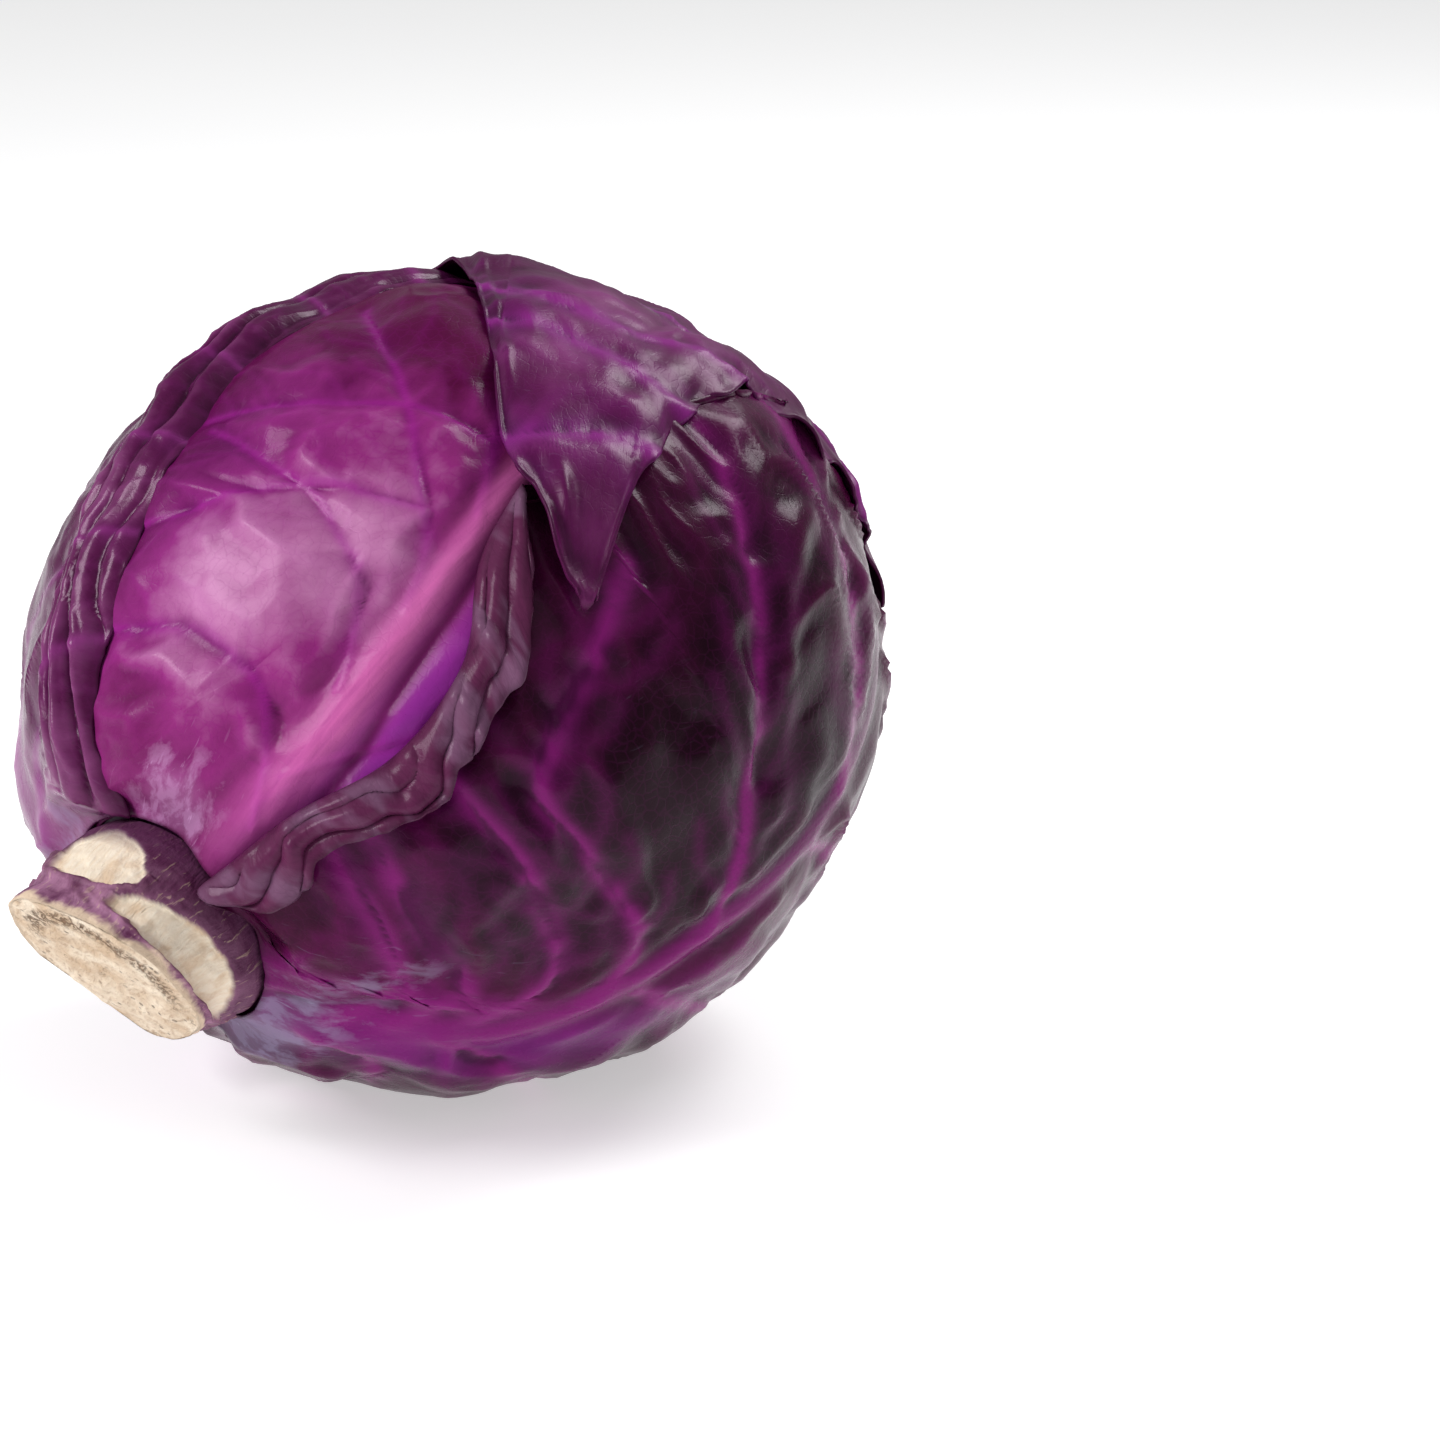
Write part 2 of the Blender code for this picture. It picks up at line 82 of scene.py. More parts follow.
# Each leaf has a centre (polar angle, turn), cells along a side of its grid, a lift over the
# heart, an outline of (turn, reach) with turn 180 at the stem, a midrib, a rib (height, half
# width) and side veins, as points or by their spacing. Puff, ragged, ridges, groove and hug are
# heights; a crease is (height, size, stretch), raised by crumple and faded by calm at the edge.
# Rolled, pleated, lifted and dense start with the two turns of a stretch of edge. Patches,
# blooms, violets and swells are (x, y, x size, y size, amount). Patches set the colour's level:
# partly the leaf's own tone, partly painted highlight and painted shade.
LEAVES = {
    "leaf_front": {
        "centre": (78, -14), "cells": 214, "lift": 0.5, "soften": 3.0,
        "outline": (
            (166, 108), (160, 103), (155, 94), (140, 82), (120, 67), (95, 62), (65, 64), (30, 74),
            (0, 84), (-30, 92), (-50, 92), (-75, 80), (-100, 74), (-125, 77), (-145, 88),
            (-158, 101), (-166, 110)),
        "midrib": ((-106, -1), (-88, 6), (-67, 8), (-47, 9), (-18, 6), (4, 2), (80, -8)),
        "rib": (3.2, 3.6),
        "veins": (
            ((-72, 9), (-53, 0), (-48, -12), (-49, -32), (-60, -50)),
            ((-42, 4), (-24, -4), (-18, -18), (-15, -29), (-12, -58)),
            ((-22, 4), (-6, -5), (9, -25), (19, -39), (33, -60)),
            ((14, -8), (13, -18), (5, -35), (-10, -62)),
            ((-6, -7), (-11, -22), (-20, -38), (-40, -60)), ((0, 2), (30, -18), (60, -50)),
            ((-60, 8), (-30, 30), (0, 50))),
        "puff": 1.9, "ragged": 0.3, "crease": (1.5, 16.0, 0.42), "crumple": 0.2, "calm": 1.0,
        "groove": 4.5, "hug": 0.9,
        # The pale patches in the middle are partly painted highlight on the lit, puffed panels.
        "patches": (
            (-40, -28, 20, 18, 0.8), (-6, -29, 18, 16, 0.25), (-19, -6, 17, 13, 0.75),
            (36, -40, 22, 44, -0.85), (-70, -27, 16, 12, -0.15), (-48, -66, 60, 18, -0.75),
            (-100, 2, 12, 16, -0.8), (10, -2, 26, 9, -0.35), (10, 24, 30, 12, -0.4)),
        "blooms": ((-80, -10, 16, 14, 1.4), (-20, -40, 30, 20, 0.25)),
        "violets": ((-46, 22, 40, 11, 1.0), (0, 20, 24, 10, 0.6), (-20, -50, 40, 20, 0.12)),
    },
    "leaf_under": {
        "centre": (80, 160), "cells": 120, "lift": 0.9, "soften": 3.0,
        "outline": (
            (166, 105), (140, 92), (110, 82), (80, 88), (50, 96), (20, 104), (-10, 100), (-40, 94),
            (-70, 90), (-95, 84), (-120, 86), (-145, 94), (-166, 105)),
        "midrib": ((-106, 0), (-50, 3), (0, 0), (90, 6)), "rib": (2.2, 4.5), "spacing": 26,
        "puff": 1.1, "ragged": 0.6, "crease": (0.8, 14.0, 0.6), "calm": 1.0, "hug": 0.9,
        "patches": ((-60, 0, 40, 40, 0.2),), "blooms": ((-70, 0, 30, 40, 0.8),),
    },
    "leaf_lower": {
        "centre": (80, 78), "cells": 214, "lift": 1.2, "soften": 2.5,
        "outline": (
            (166, 106), (158, 102), (145, 98), (120, 98), (90, 102), (60, 98), (30, 104), (0, 112),
            (-30, 122), (-50, 130), (-70, 131), (-88, 126), (-99, 120), (-108, 113), (-115, 101),
            (-125, 96), (-134, 95), (-147, 101), (-158, 103), (-168, 107)),
        "midrib": (
            (-104, 5), (-82, 3), (-63, 0), (-46, -1), (-26, -10), (-10, -18), (40, -30), (100, -40)),
        "rib": (2.2, 4.4),
        "veins": (
            ((-76, -1), (-65, -12), (-66, -23), (-70, -36), (-78, -50)),
            ((-64, -3), (-54, -12), (-55, -20), (-66, -41), (-74, -62)),
            ((-50, -7), (-38, -16), (-37, -27), (-45, -49), (-56, -70)),
            ((-30, -10), (-22, -25), (-30, -45), (-42, -66), (-32, -79), (-5, -100)),
            ((-8, -18), (0, -45), (15, -75), (40, -110)), ((30, -28), (50, -60), (75, -95)),
            ((-80, 4), (-60, 20), (-62, 45), (-80, 75)),
            ((-55, 2), (-30, 25), (-25, 50), (-30, 90)), ((-20, -8), (5, 20), (20, 60), (20, 95)),
            ((20, -20), (50, 15), (70, 60))),
        "puff": 1.4, "rolled": (-168, -93), "ragged": 0.7, "ridges": 0.5,
        "crease": (1.7, 15.0, 0.5), "crumple": 0.1, "hug": 0.3, "dense": (-172, -60),
        "patches": (
            (-60, -6, 60, 16, 0.75), (-44, -66, 12, 12, 0.2), (-16, -80, 14, 16, 0.2),
            (-38, -44, 28, 28, -0.75), (10, -60, 50, 44, -0.65)),
        "blooms": (
            (-88, 16, 14, 22, 1.6), (-72, -10, 16, 16, 0.7), (-62, -24, 20, 8, 0.45),
            (30, 70, 50, 40, 0.4), (-16, -72, 12, 12, 0.2)),
        "violets": ((-48, 6, 50, 10, 0.4),),
        "swells": (
            (-45, -45, 38, 36, 1.3), (-61, -50, 6, 8, 1.5), (-50, -56, 5, 10, 1.5),
            (-38, -54, 5, 12, 1.6), (-72, -34, 5, 7, 1.2), (-24, -70, 7, 12, 1.5),
            (-34, -34, 8, 12, -1.0)),
    },
    "leaf_left": {
        "centre": (80, -120), "cells": 190, "lift": 1.2, "soften": 2.5,
        "outline": (
            (166, 106), (152, 90), (142, 87), (122, 82), (100, 81), (89, 81), (80, 85), (69, 89),
            (60, 95), (48, 104), (20, 106), (0, 104), (-30, 98), (-60, 92), (-90, 90), (-120, 92),
            (-150, 96), (-166, 104)),
        "midrib": ((-106, 0), (-50, -4), (0, -6), (90, -2)), "rib": (2.2, 4.5), "spacing": 25,
        "puff": 1.0, "pleated": (44, 172, 26.0, 3, 2.8), "ragged": 0.8, "crease": (0.8, 12.0, 0.7),
        "calm": 0.7, "hug": 2.2, "dense": (40, 172),
        "patches": ((-35, 55, 30, 14, 0.35), (-86, 10, 16, 24, 0.7)),
        "blooms": ((-86, 8, 16, 24, 0.9), (0, -40, 60, 40, 0.2)),
    },
    "leaf_top": {
        "centre": (145, -105), "cells": 214, "lift": 1.1, "soften": 0.8,
        "outline": (
            (80.4, 162), (82, 158), (84, 155), (86, 151), (87.8, 145), (90, 138), (93, 134),
            (95, 122), (97, 105), (99, 89), (101, 78), (105, 60), (112, 51), (129, 47), (159, 51),
            (175, 58), (187, 68), (197, 82), (206, 104), (211, 132), (214, 160), (216, 188),
            (224, 194), (240, 174), (256, 146), (270, 128), (285, 116), (305, 106), (330, 100),
            (350, 99), (10, 102), (20, 97), (29, 99), (38, 94), (44, 99), (50, 95), (56, 98),
            (61, 96), (63, 101), (69, 107), (71, 114), (74.5, 119), (75, 127), (78.2, 131.5),
            (79.2, 139), (79.4, 152)),
        "midrib": ((-178, -70), (-120, -38), (-60, -16), (0, 0), (60, 14), (100, 20)),
        "rib": (1.8, 5.0),
        "veins": (
            ((-60, 30), (-17, 75), (4, 85), (22, 89), (60, 84)),
            ((-40, 80), (12, 99), (26, 106), (42, 108)),
            ((-40, 118), (-10, 127), (16, 123), (40, 124)), ((0, 45), (30, 70), (41, 63), (70, 50)),
            ((-20, 5), (20, 35), (90, 45)), ((-60, -12), (-30, -50), (20, -90)),
            ((-20, -4), (20, -40), (70, -70)), ((-110, -34), (-80, -80), (-40, -120)),
            ((30, 6), (60, -15), (95, -30)), ((-100, -20), (-70, 10), (-40, 36))),
        "puff": 1.4, "lifted": (66, 96, 3.0), "ragged": 1.5, "crease": (1.15, 19.0, 0.8),
        "ridges": 0.8, "hug": 0.2, "dense": (15, 108),
        "patches": (
            (13, 81, 18, 12, 0.75), (2, 104, 13, 12, 0.6), (-12, 88, 14, 20, -0.4),
            (12, 136, 14, 18, 0.15), (44, 66, 20, 20, 0.1)),
        "blooms": ((10, 110, 26, 26, 0.45), (44, 66, 22, 22, 0.4), (-60, -20, 70, 60, 0.4)),
    },
}
ORDER = list(LEAVES)


def smooth_step(low, high, value):
    """0 below low, 1 above high, with a smooth rise between."""
    t = np.clip((value - low) / (high - low), 0.0, 1.0)
    return t * t * (3.0 - 2.0 * t)


def noise(x, y, size, seed):
    """Smooth noise in -1..1: random values at lattice points, blended with a smooth step."""
    table = np.random.default_rng(seed).uniform(-1.0, 1.0, (NOISE_TABLE, NOISE_TABLE))
    cell_x, cell_y = np.floor(x / size), np.floor(y / size)
    part_x = smooth_step(0.0, 1.0, x / size - cell_x)
    part_y = smooth_step(0.0, 1.0, y / size - cell_y)
    i, j = cell_x.astype(int) % NOISE_TABLE, cell_y.astype(int) % NOISE_TABLE
    after_i, after_j = (i + 1) % NOISE_TABLE, (j + 1) % NOISE_TABLE
    near = table[i, j] * (1.0 - part_x) + table[after_i, j] * part_x
    far = table[i, after_j] * (1.0 - part_x) + table[after_i, after_j] * part_x
    return near * (1.0 - part_y) + far * part_y


def layered_noise(x, y, size, seed):
    """Three layers of noise, each half as large and half as strong as the one before."""
    return (noise(x, y, size, seed) + 0.5 * noise(y, x, size * 0.47, seed + 1)
            + 0.25 * noise(x, y, size * 0.23, seed + 2)) / 1.75


def head_axes():
    """Rows: the viewer's meridian, the quarter turn from it, and the axis from stem to crown."""
    lift, heading, view = radians(AXIS_LIFT), radians(AXIS_HEADING), radians(VIEW_LIFT)
    axis = np.array([cos(lift) * cos(heading), cos(lift) * sin(heading), sin(lift)])
    viewer = np.array([0.0, -cos(view), sin(view)])
    front = viewer - viewer.dot(axis) * axis
    front /= np.linalg.norm(front)
    return np.array([front, np.cross(axis, front), axis])


AXES = head_axes()
RADII = np.array([EQUATOR_RADIUS, EQUATOR_RADIUS, POLE_RADIUS])
LAYER = LEAF_THICKNESS + LEAF_GAP
REST_OFFSET = LEAVES["leaf_lower"]["lift"] - HEART_DEPTH + LAYER + LEAF_THICKNESS


def resting_place():
    """Head centre, and the direction from it, in head axes, of the spot that it rests on."""
    reach = (RADII + REST_OFFSET) * AXES[:, 2]
    spot = -reach / np.linalg.norm(reach)
    lowest = ((spot * (RADII + REST_OFFSET)) @ AXES) * STRETCH
    return np.array([-lowest[0], -lowest[1], -lowest[2] - REST_DEPTH]), spot


CENTRE, SPOT = resting_place()


def direction(polar, turn):
    """Unit direction in head axes of a polar angle and a turn, in degrees."""
    polar, turn = radians(polar), radians(turn)
    return np.array([sin(polar) * cos(turn), sin(polar) * sin(turn), -cos(polar)])


def leaf_frame(leaf):
    """The middle of a leaf and its x and y directions, in head axes."""
    polar, turn = (radians(angle) for angle in leaf["centre"])
    x_way = np.array([cos(polar) * cos(turn), cos(polar) * sin(turn), sin(polar)])
    return direction(*leaf["centre"]), x_way, np.array([-sin(turn), cos(turn), 0.0])


def wrap(leaf, x, y):
    """Directions of flat leaf points: distances from the middle become arcs of the head."""
    middle, x_way, y_way = leaf_frame(leaf)
    arc = np.hypot(x, y) / PLANE_RADIUS
    share = np.sinc(arc / pi) / PLANE_RADIUS
    return (np.cos(arc)[:, None] * middle
            + (share * x)[:, None] * x_way + (share * y)[:, None] * y_way)


def unwrap(leaf, q):
    """Flat leaf points of directions: the inverse of wrap."""
    middle, x_way, y_way = leaf_frame(leaf)
    arc = np.arccos(np.clip(q @ middle, -1.0, 1.0))
    stretch = PLANE_RADIUS / np.maximum(np.sinc(arc / pi), 1e-3)
    return stretch * (q @ x_way), stretch * (q @ y_way)


def head_point(q, offset):
    """World points, in millimetres, at an offset from the head's ellipsoid."""
    normal = q / RADII
    normal /= np.linalg.norm(normal, axis=1, keepdims=True)
    return CENTRE + ((q * RADII + offset[:, None] * normal) @ AXES) * STRETCH


def settle(points):
    """Raise the stack of leaves over the resting spot so that its outside is flat there."""
    grid = (AXES / (RADII + REST_OFFSET)[:, None]) / STRETCH
    flat = (points[:, :2] - CENTRE[:2]) @ grid[:, :2].T
    a = grid[:, 2].dot(grid[:, 2])
    b = 2.0 * flat @ grid[:, 2]
    c = np.sum(flat * flat, axis=1) - 1.0
    under = CENTRE[2] + (-b - np.sqrt(np.maximum(b * b - 4.0 * a * c, 0.0))) / (2.0 * a)
    raised = points.copy()
    raised[:, 2] += np.maximum(-under, 0.0) * (1.0 - smooth_step(12.0, 45.0, points[:, 2]))
    raised[:, 2] = np.maximum(raised[:, 2], 0.0)
    return raised


def reach_of(leaf, turn):
    """Distance from the leaf's middle to its edge, softened, and stopped at the stem's collar."""
    points = sorted((angle % 360, reach) for angle, reach in leaf["outline"])
    angles = np.arange(0.0, 360.0, 0.5)
    table = np.interp(angles, *zip(*points), period=360)
    waves = np.fft.rfftfreq(len(angles), d=0.5) * 2.0 * pi
    softening = np.exp(-0.5 * (waves * leaf["soften"]) ** 2)
    table = np.fft.irfft(np.fft.rfft(table) * softening, len(angles))
    reach = np.interp(np.degrees(turn) % 360, angles, table, period=360)
    polar, collar = radians(leaf["centre"][0]), radians(COLLAR_ANGLE)
    across = -sin(polar) * np.cos(turn)
    size = np.hypot(across, cos(polar))
    stop = np.arctan2(across, cos(polar)) - np.arccos(np.clip(cos(collar) / size, -1.0, 1.0))
    meets = (size > cos(collar)) & (across > 0.0)
    return np.where(meets, np.minimum(reach, PLANE_RADIUS * stop), reach)


def torn_edge(leaf, turn):
    """Small teeth of a leaf's edge: layered noise round a circle as long as the outline."""
    place = turn * 100.0
    seam = smooth_step(0.0, 12.0, pi * 100.0 - np.abs(place))
    return leaf["ragged"] * seam * (layered_noise(place, place * 0.0, 9.0, 5) - 0.25)


def side_veins(leaf):
    """Side veins that leave the midrib at even steps and bend towards the tip."""
    if "spacing" not in leaf:
        return leaf["veins"]
    xs, ys = zip(*leaf["midrib"])
    veins = []
    for start in range(-80, 80, leaf["spacing"]):
        root = np.interp(start, xs, ys)
        for side in (-1, 1):
            veins.append([(start + lean, root + side * out)
                          for lean, out in ((0, 0), (12, 16), (17, 40), (12, 70), (0, 100))])
    return veins


def rounded(line):
    """A polyline with its corners cut twice, so that it bends instead of turning."""
    points = np.array(line, float)
    for _ in range(2):
        near = 0.75 * points[:-1] + 0.25 * points[1:]
        far = 0.25 * points[:-1] + 0.75 * points[1:]
        between = np.stack([near, far], axis=1).reshape(-1, 2)
        points = np.concatenate([points[:1], between, points[-1:]])
    return points


def twigs(leaf):
    """Thin branches that leave the side veins on alternate sides and bend to their tips."""
    result = []
    for vein in side_veins(leaf):
        points = rounded(vein)
        steps = np.hypot(*np.diff(points, axis=0).T)
        length = np.concatenate([[0.0], np.cumsum(steps)])
        for count, place in enumerate(np.arange(5.0, length[-1] - 3.0, 6.5)):
            root, ahead = (np.array([np.interp(at, length, points[:, 0]),
                                     np.interp(at, length, points[:, 1])])
                           for at in (place, place + 2.0))
            way = (ahead - root) / max(np.hypot(*(ahead - root)), 0.1)
            side = np.array([-way[1], way[0]]) * (-1.0) ** count
            reach = 12.0 + 4.0 * sin(2.1 * count + vein[0][0])
            result.append([root, root + reach * (0.25 * way + 0.4 * side),
                           root + reach * (0.65 * way + 0.7 * side),
                           root + reach * (1.25 * way + 0.8 * side)])
    return result


def distance_to_lines(lines, x, y, squeeze):
    """Distance from points to the nearest of several polylines."""
    nearest = np.full(len(x), 1e3)
    for line in lines:
        for (x0, y0), (x1, y1) in zip(line[:-1], line[1:]):
            dx, dy = x1 - x0, y1 - y0
            along = np.clip(((x - x0) * dx + (y - y0) * dy) / (dx * dx + dy * dy), 0.0, 1.0)
            gap = np.hypot(x - x0 - along * dx, y - y0 - along * dy) * squeeze
            nearest = np.minimum(nearest, gap)
    return nearest


def within(turn, low, high, fade):
    """1 where a turn lies between two angles, in degrees, fading to 0 at both ends."""
    angle = np.degrees(turn)
    return smooth_step(low, low + fade, angle) * (1.0 - smooth_step(high - fade, high, angle))


def rim_width(leaf, turn):
    """Width of the band of a leaf's edge that is rolled back over its outside."""
    if "rolled" not in leaf:
        return np.zeros_like(turn)
    low, high = leaf["rolled"]
    arc = turn * 100.0
    ripple = 1.0 + 0.20 * noise(arc, arc * 0.0, 17.0, 35) + 0.10 * noise(arc, arc * 0.0, 6.0, 36)
    starts = smooth_step(low, low + 0.7 * RIM_FADE, np.degrees(turn))
    ends = 1.0 - smooth_step(high - RIM_FADE, high, np.degrees(turn))
    return RIM_WIDTH * ripple * starts * ends


def squeezed(x, y):
    """How much a distance round the leaf's middle shrinks when it is wrapped."""
    return np.abs(np.sinc(np.hypot(x, y) / PLANE_RADIUS / pi))


def rib_offset(leaf, x, y):
    """Signed distance of flat points from the midrib."""
    rib_x, rib_y = zip(*leaf["midrib"])
    return (y - np.interp(x, rib_x, rib_y)) * squeezed(x, y)


def rib_spread(leaf, x):
    """Half width of the midrib, wider towards the stem."""
    return leaf["rib"][1] * (1.0 + 1.1 * smooth_step(-10.0, leaf["midrib"][0][0], x))


def pleats(leaf, edge, turn, fine):
    """Long folds along a leaf's edge; seen close, they wander, part and have sharp valleys."""
    low, high, band, folds, size = leaf["pleated"]
    depth = np.clip(edge / band, 0.0, 1.0)
    fold = 0.5 - 0.5 * np.cos(2.0 * pi * folds * depth)
    if fine:
        arc = turn * 80.0
        drift = 1.0 * noise(arc, arc * 0.0, 36.0, 21) + 0.34 * noise(arc, edge, 15.0, 22)
        split = 0.6 * smooth_step(-0.2, 0.5, noise(arc, edge * 1.5, 28.0, 24))
        inner = 1.0 - smooth_step(0.5, 1.0, depth + 0.28 * noise(arc, edge, 24.0, 26))
        ends = smooth_step(0.0, 0.16, depth) * inner * (1.0 - smooth_step(0.85, 1.0, depth))
        phase = (1.15 + split) * folds * depth + drift
        ridge = np.abs(np.sin(pi * phase)) ** 0.7
        tall = np.maximum(0.75 + 0.6 * noise(arc, edge, 23.0, 23), 0.25)
        small = np.abs(np.sin(pi * (2.6 * phase + 0.5 * noise(arc, edge, 7.0, 25)))) * 0.12
        fold = ends * (0.25 + (1.05 * ridge + small) * tall)
    return size * fold * within(turn, low, high, 18.0)


def creases(leaf, x, y, edge):
    """Crumpled folds: sharp crests where layered noise crosses 0, stronger near the edge."""
    high, size, stretch = leaf["crease"]
    bent_x, bent_y = x + 4.0 * noise(x, y, 21.0, 71), y + 4.0 * noise(x, y, 21.0, 72)
    wrinkle = noise(bent_x, bent_y * stretch, size, 73)
    wrinkle += 0.45 * noise(bent_x, bent_y, size * 0.5, 75)
    crest = 1.0 - 2.0 * np.abs(wrinkle)
    swell = noise(x, y * stretch, size * 1.6, 74)
    size_here = high * (0.75 + leaf.get("crumple", 0.9) * np.exp(-edge / 14.0))
    return size_here * (np.maximum(crest, -0.2) + 0.5 * swell - 0.35)


def relief(leaf, x, y, q, fine=False):
    """Height of the midrib, the panels puffed between veins, the pleats and the wavy edge."""
    reach, turn = np.hypot(x, y), np.arctan2(y, x)
    edge = reach_of(leaf, turn) - reach
    aside = rib_offset(leaf, x, y)
    rib_x = leaf["midrib"][0][0]
    fade = smooth_step(leaf["midrib"][-1][0], rib_x, x) * 0.75 + 0.25
    height = leaf["rib"][0] * fade * np.exp(-(aside / rib_spread(leaf, x)) ** 2)
    vein_gap = distance_to_lines(side_veins(leaf), x, y, squeezed(x, y))
    swell = 1.45 * (1.0 - np.exp(-vein_gap / 5.5)) if fine else 1.0 - np.exp(-(vein_gap / 7.0) ** 2)
    panel = swell * smooth_step(3.0, 11.0, np.abs(aside))
    height += leaf["puff"] * panel * smooth_step(2.0, 16.0, edge)
    if fine:
        height += panel * patchwork(leaf.get("swells", ()), x, y) * smooth_step(2.0, 16.0, edge)
        calm = 1.0 - leaf.get("calm", 0.0) * (1.0 - smooth_step(4.0, 26.0, edge))
        height += creases(leaf, x, y, edge) * smooth_step(2.0, 10.0, np.abs(aside)) * calm
    if "pleated" in leaf:
        height += pleats(leaf, edge, turn, fine)
    if "lifted" in leaf:
        low, high_turn, size = leaf["lifted"]
        height += size * within(turn, low, high_turn, 10.0) * smooth_step(105.0, 165.0, reach)
    wave = 0.5 + 0.5 * np.sin(turn * 17.0) * np.cos(turn * 6.0 + 1.0)
    height += EDGE_WAVE * wave * (1.0 - smooth_step(0.0, 18.0, edge))
    away = PLANE_RADIUS * np.arccos(np.clip(q @ SPOT, -1.0, 1.0))
    return height * smooth_step(*REST_CALM, away)


def cover(leaf, q):
    """How much a leaf raises what lies on it: its thickness, relief and rolled edge."""
    x, y = unwrap(leaf, q)
    reach, turn = np.hypot(x, y), np.arctan2(y, x)
    past = reach - reach_of(leaf, turn)
    share = 1.0 - smooth_step(0.0, DRAPE_LENGTH, past)
    width = rim_width(leaf, turn)
    rim = smooth_step(0.5, 4.0, width) * smooth_step(-width - 5.0, -width, past)
    return share * (LAYER + relief(leaf, x, y, q) + rim * (2.0 * RIM_BEND + LAYER))


def stack_height(name, q):
    """Height of a leaf's inside over the heart: the highest cover near by of each lower leaf.

    Near its own edge the leaf lies closer, on the cover straight under it.
    """
    leaf = LEAVES[name]
    height = np.full(len(q), leaf["lift"] - HEART_DEPTH)
    nudges = [(0.0, 0.0)] + [(5.0 * cos(k * pi / 4), 5.0 * sin(k * pi / 4)) for k in range(8)]
    x, y = unwrap(leaf, q)
    close = 1.0 - smooth_step(1.0, 12.0, reach_of(leaf, np.arctan2(y, x)) - np.hypot(x, y))
    for lower in ORDER[:ORDER.index(name)]:
        covers = [cover(LEAVES[lower], wrap(leaf, x + dx, y + dy)) for dx, dy in nudges]
        height += np.max(covers, axis=0) * (1.0 - close) + covers[0] * close
    return height - leaf["hug"] * close


def blurred(values, side, rounds):
    """Values of a square grid, each round averaged 1-2-1 with their neighbours both ways."""
    field = values.reshape(side, side)
    for _ in range(rounds):
        for _ in range(2):
            inner = 0.25 * field[:-2] + 0.5 * field[1:-1] + 0.25 * field[2:]
            field = np.concatenate([field[:1], inner, field[-1:]]).T
    return field.ravel()


def even_turns(leaf, share):
    """Turns for shares from -1 to 1 of the outline's length, closer together where it is dense."""
    turns = np.linspace(-pi, pi, 2 * HALF_TURN_STEPS + 1)
    reach = reach_of(leaf, turns)
    steps = np.hypot(np.diff(reach), 0.5 * (reach[1:] + reach[:-1]) * np.diff(turns)) + 0.15
    if "dense" in leaf:
        steps *= 1.0 + 1.3 * within(0.5 * (turns[1:] + turns[:-1]), *leaf["dense"], 15.0)
    result = np.empty_like(share)
    for side, start in ((share <= 0.0, 0), (share > 0.0, HALF_TURN_STEPS)):
        half = steps[start:start + HALF_TURN_STEPS]
        length = np.concatenate([[0.0], np.cumsum(half)]) / np.sum(half)
        fraction = share[side] + (1.0 if start == 0 else 0.0)
        result[side] = np.interp(fraction, length, turns[start:start + HALF_TURN_STEPS + 1])
    return result


def square_to_disc(u, v):
    """Ring (0 to 1) and share of a turn (-1 to 1) of points of a square grid."""
    ring = np.maximum(np.abs(u), np.abs(v))
    safe = np.maximum(ring, 1e-9)
    flanks = np.abs(u) >= np.abs(v)
    side = np.where(flanks, v / safe, np.sign(v) * (2.0 - u / safe))
    share = np.where(flanks & (u < 0.0), np.where(v < 0.0, -4.0, 4.0) - side, side)
    return ring, share / 4.0


def rings(leaf, ring, total, width):
    """Distance along each ray for a ring: even, or gathered where the edge rolls or pleats."""
    if "pleated" in leaf:
        band = leaf["pleated"][2]
        return np.where(ring <= 0.5, ring / 0.5 * (total - band),
                        total - band * (1.0 - ring) / 0.5)
    if "rolled" not in leaf:
        return ring * total
    inner = 0.66
    band = np.where(width > 0.0, np.maximum(width, 0.3 * RIM_WIDTH), 0.6 * RIM_WIDTH)
    return np.where(ring < inner, ring / inner * (total - band),
                    total - band * (1.0 - ring) / (1.0 - inner))


def roll_back(along, fold, width):
    """Place and height of points past the fold line: a half turn, then flat and closing."""
    past = np.maximum(along - fold, 0.0)
    turned = pi * smooth_step(0.0, ROLL_FULL, width)
    angle = np.minimum(past / RIM_BEND, turned)
    after = past - angle * RIM_BEND
    place = np.minimum(along, fold) + RIM_BEND * np.sin(angle) + after * np.cos(turned)
    closing = 0.6 * smooth_step(0.0, 10.0, after)
    return place, RIM_BEND * (1.0 - np.cos(angle)) + after * np.sin(turned) - closing


def grid_spacing(flat_x, flat_y, side):
    """The larger of the distances between neighbouring points of a square grid, both ways."""
    steps = [np.gradient(values.reshape(side, side)) for values in (flat_x, flat_y)]
    ways = [np.hypot(steps[0][axis], steps[1][axis]) for axis in (0, 1)]
    return np.maximum(*ways).ravel()


def patchwork(patches, x, y):
    """Sum of soft oval patches."""
    total = np.zeros(len(x))
    for px, py, size_x, size_y, amount in patches:
        total += amount * np.exp(-((x - px) / size_x) ** 2 - ((y - py) / size_y) ** 2)
    return total


def rim_folds(turn, past, width):
    """Folds of the rolled edge: long ones that fan out from the stem, and short cross creases."""
    arc = turn * 100.0
    share = past / np.maximum(width, 4.0)
    wander = 0.7 * noise(arc * 0.35, past, 9.0, 31) + 0.15 * noise(arc, past, 6.0, 32)
    long_folds = np.abs(np.sin(pi * (2.6 * share + arc / 60.0 + wander))) ** 0.7
    cross = 1.0 - np.abs(noise(arc, past * 0.5, 9.0, 33) + 0.5 * noise(arc, past, 5.0, 34)) * 2.0
    by_stem = 1.0 - smooth_step(-150.0, -125.0, np.degrees(turn))
    lift = (1.6 + 0.8 * by_stem) * long_folds
    lift += (0.9 - 0.7 * by_stem) * np.maximum(cross, 0.0) * (0.4 + 0.6 * share)
    return lift * smooth_step(3.0, 7.0, past) * smooth_step(2.0, 8.0, width)


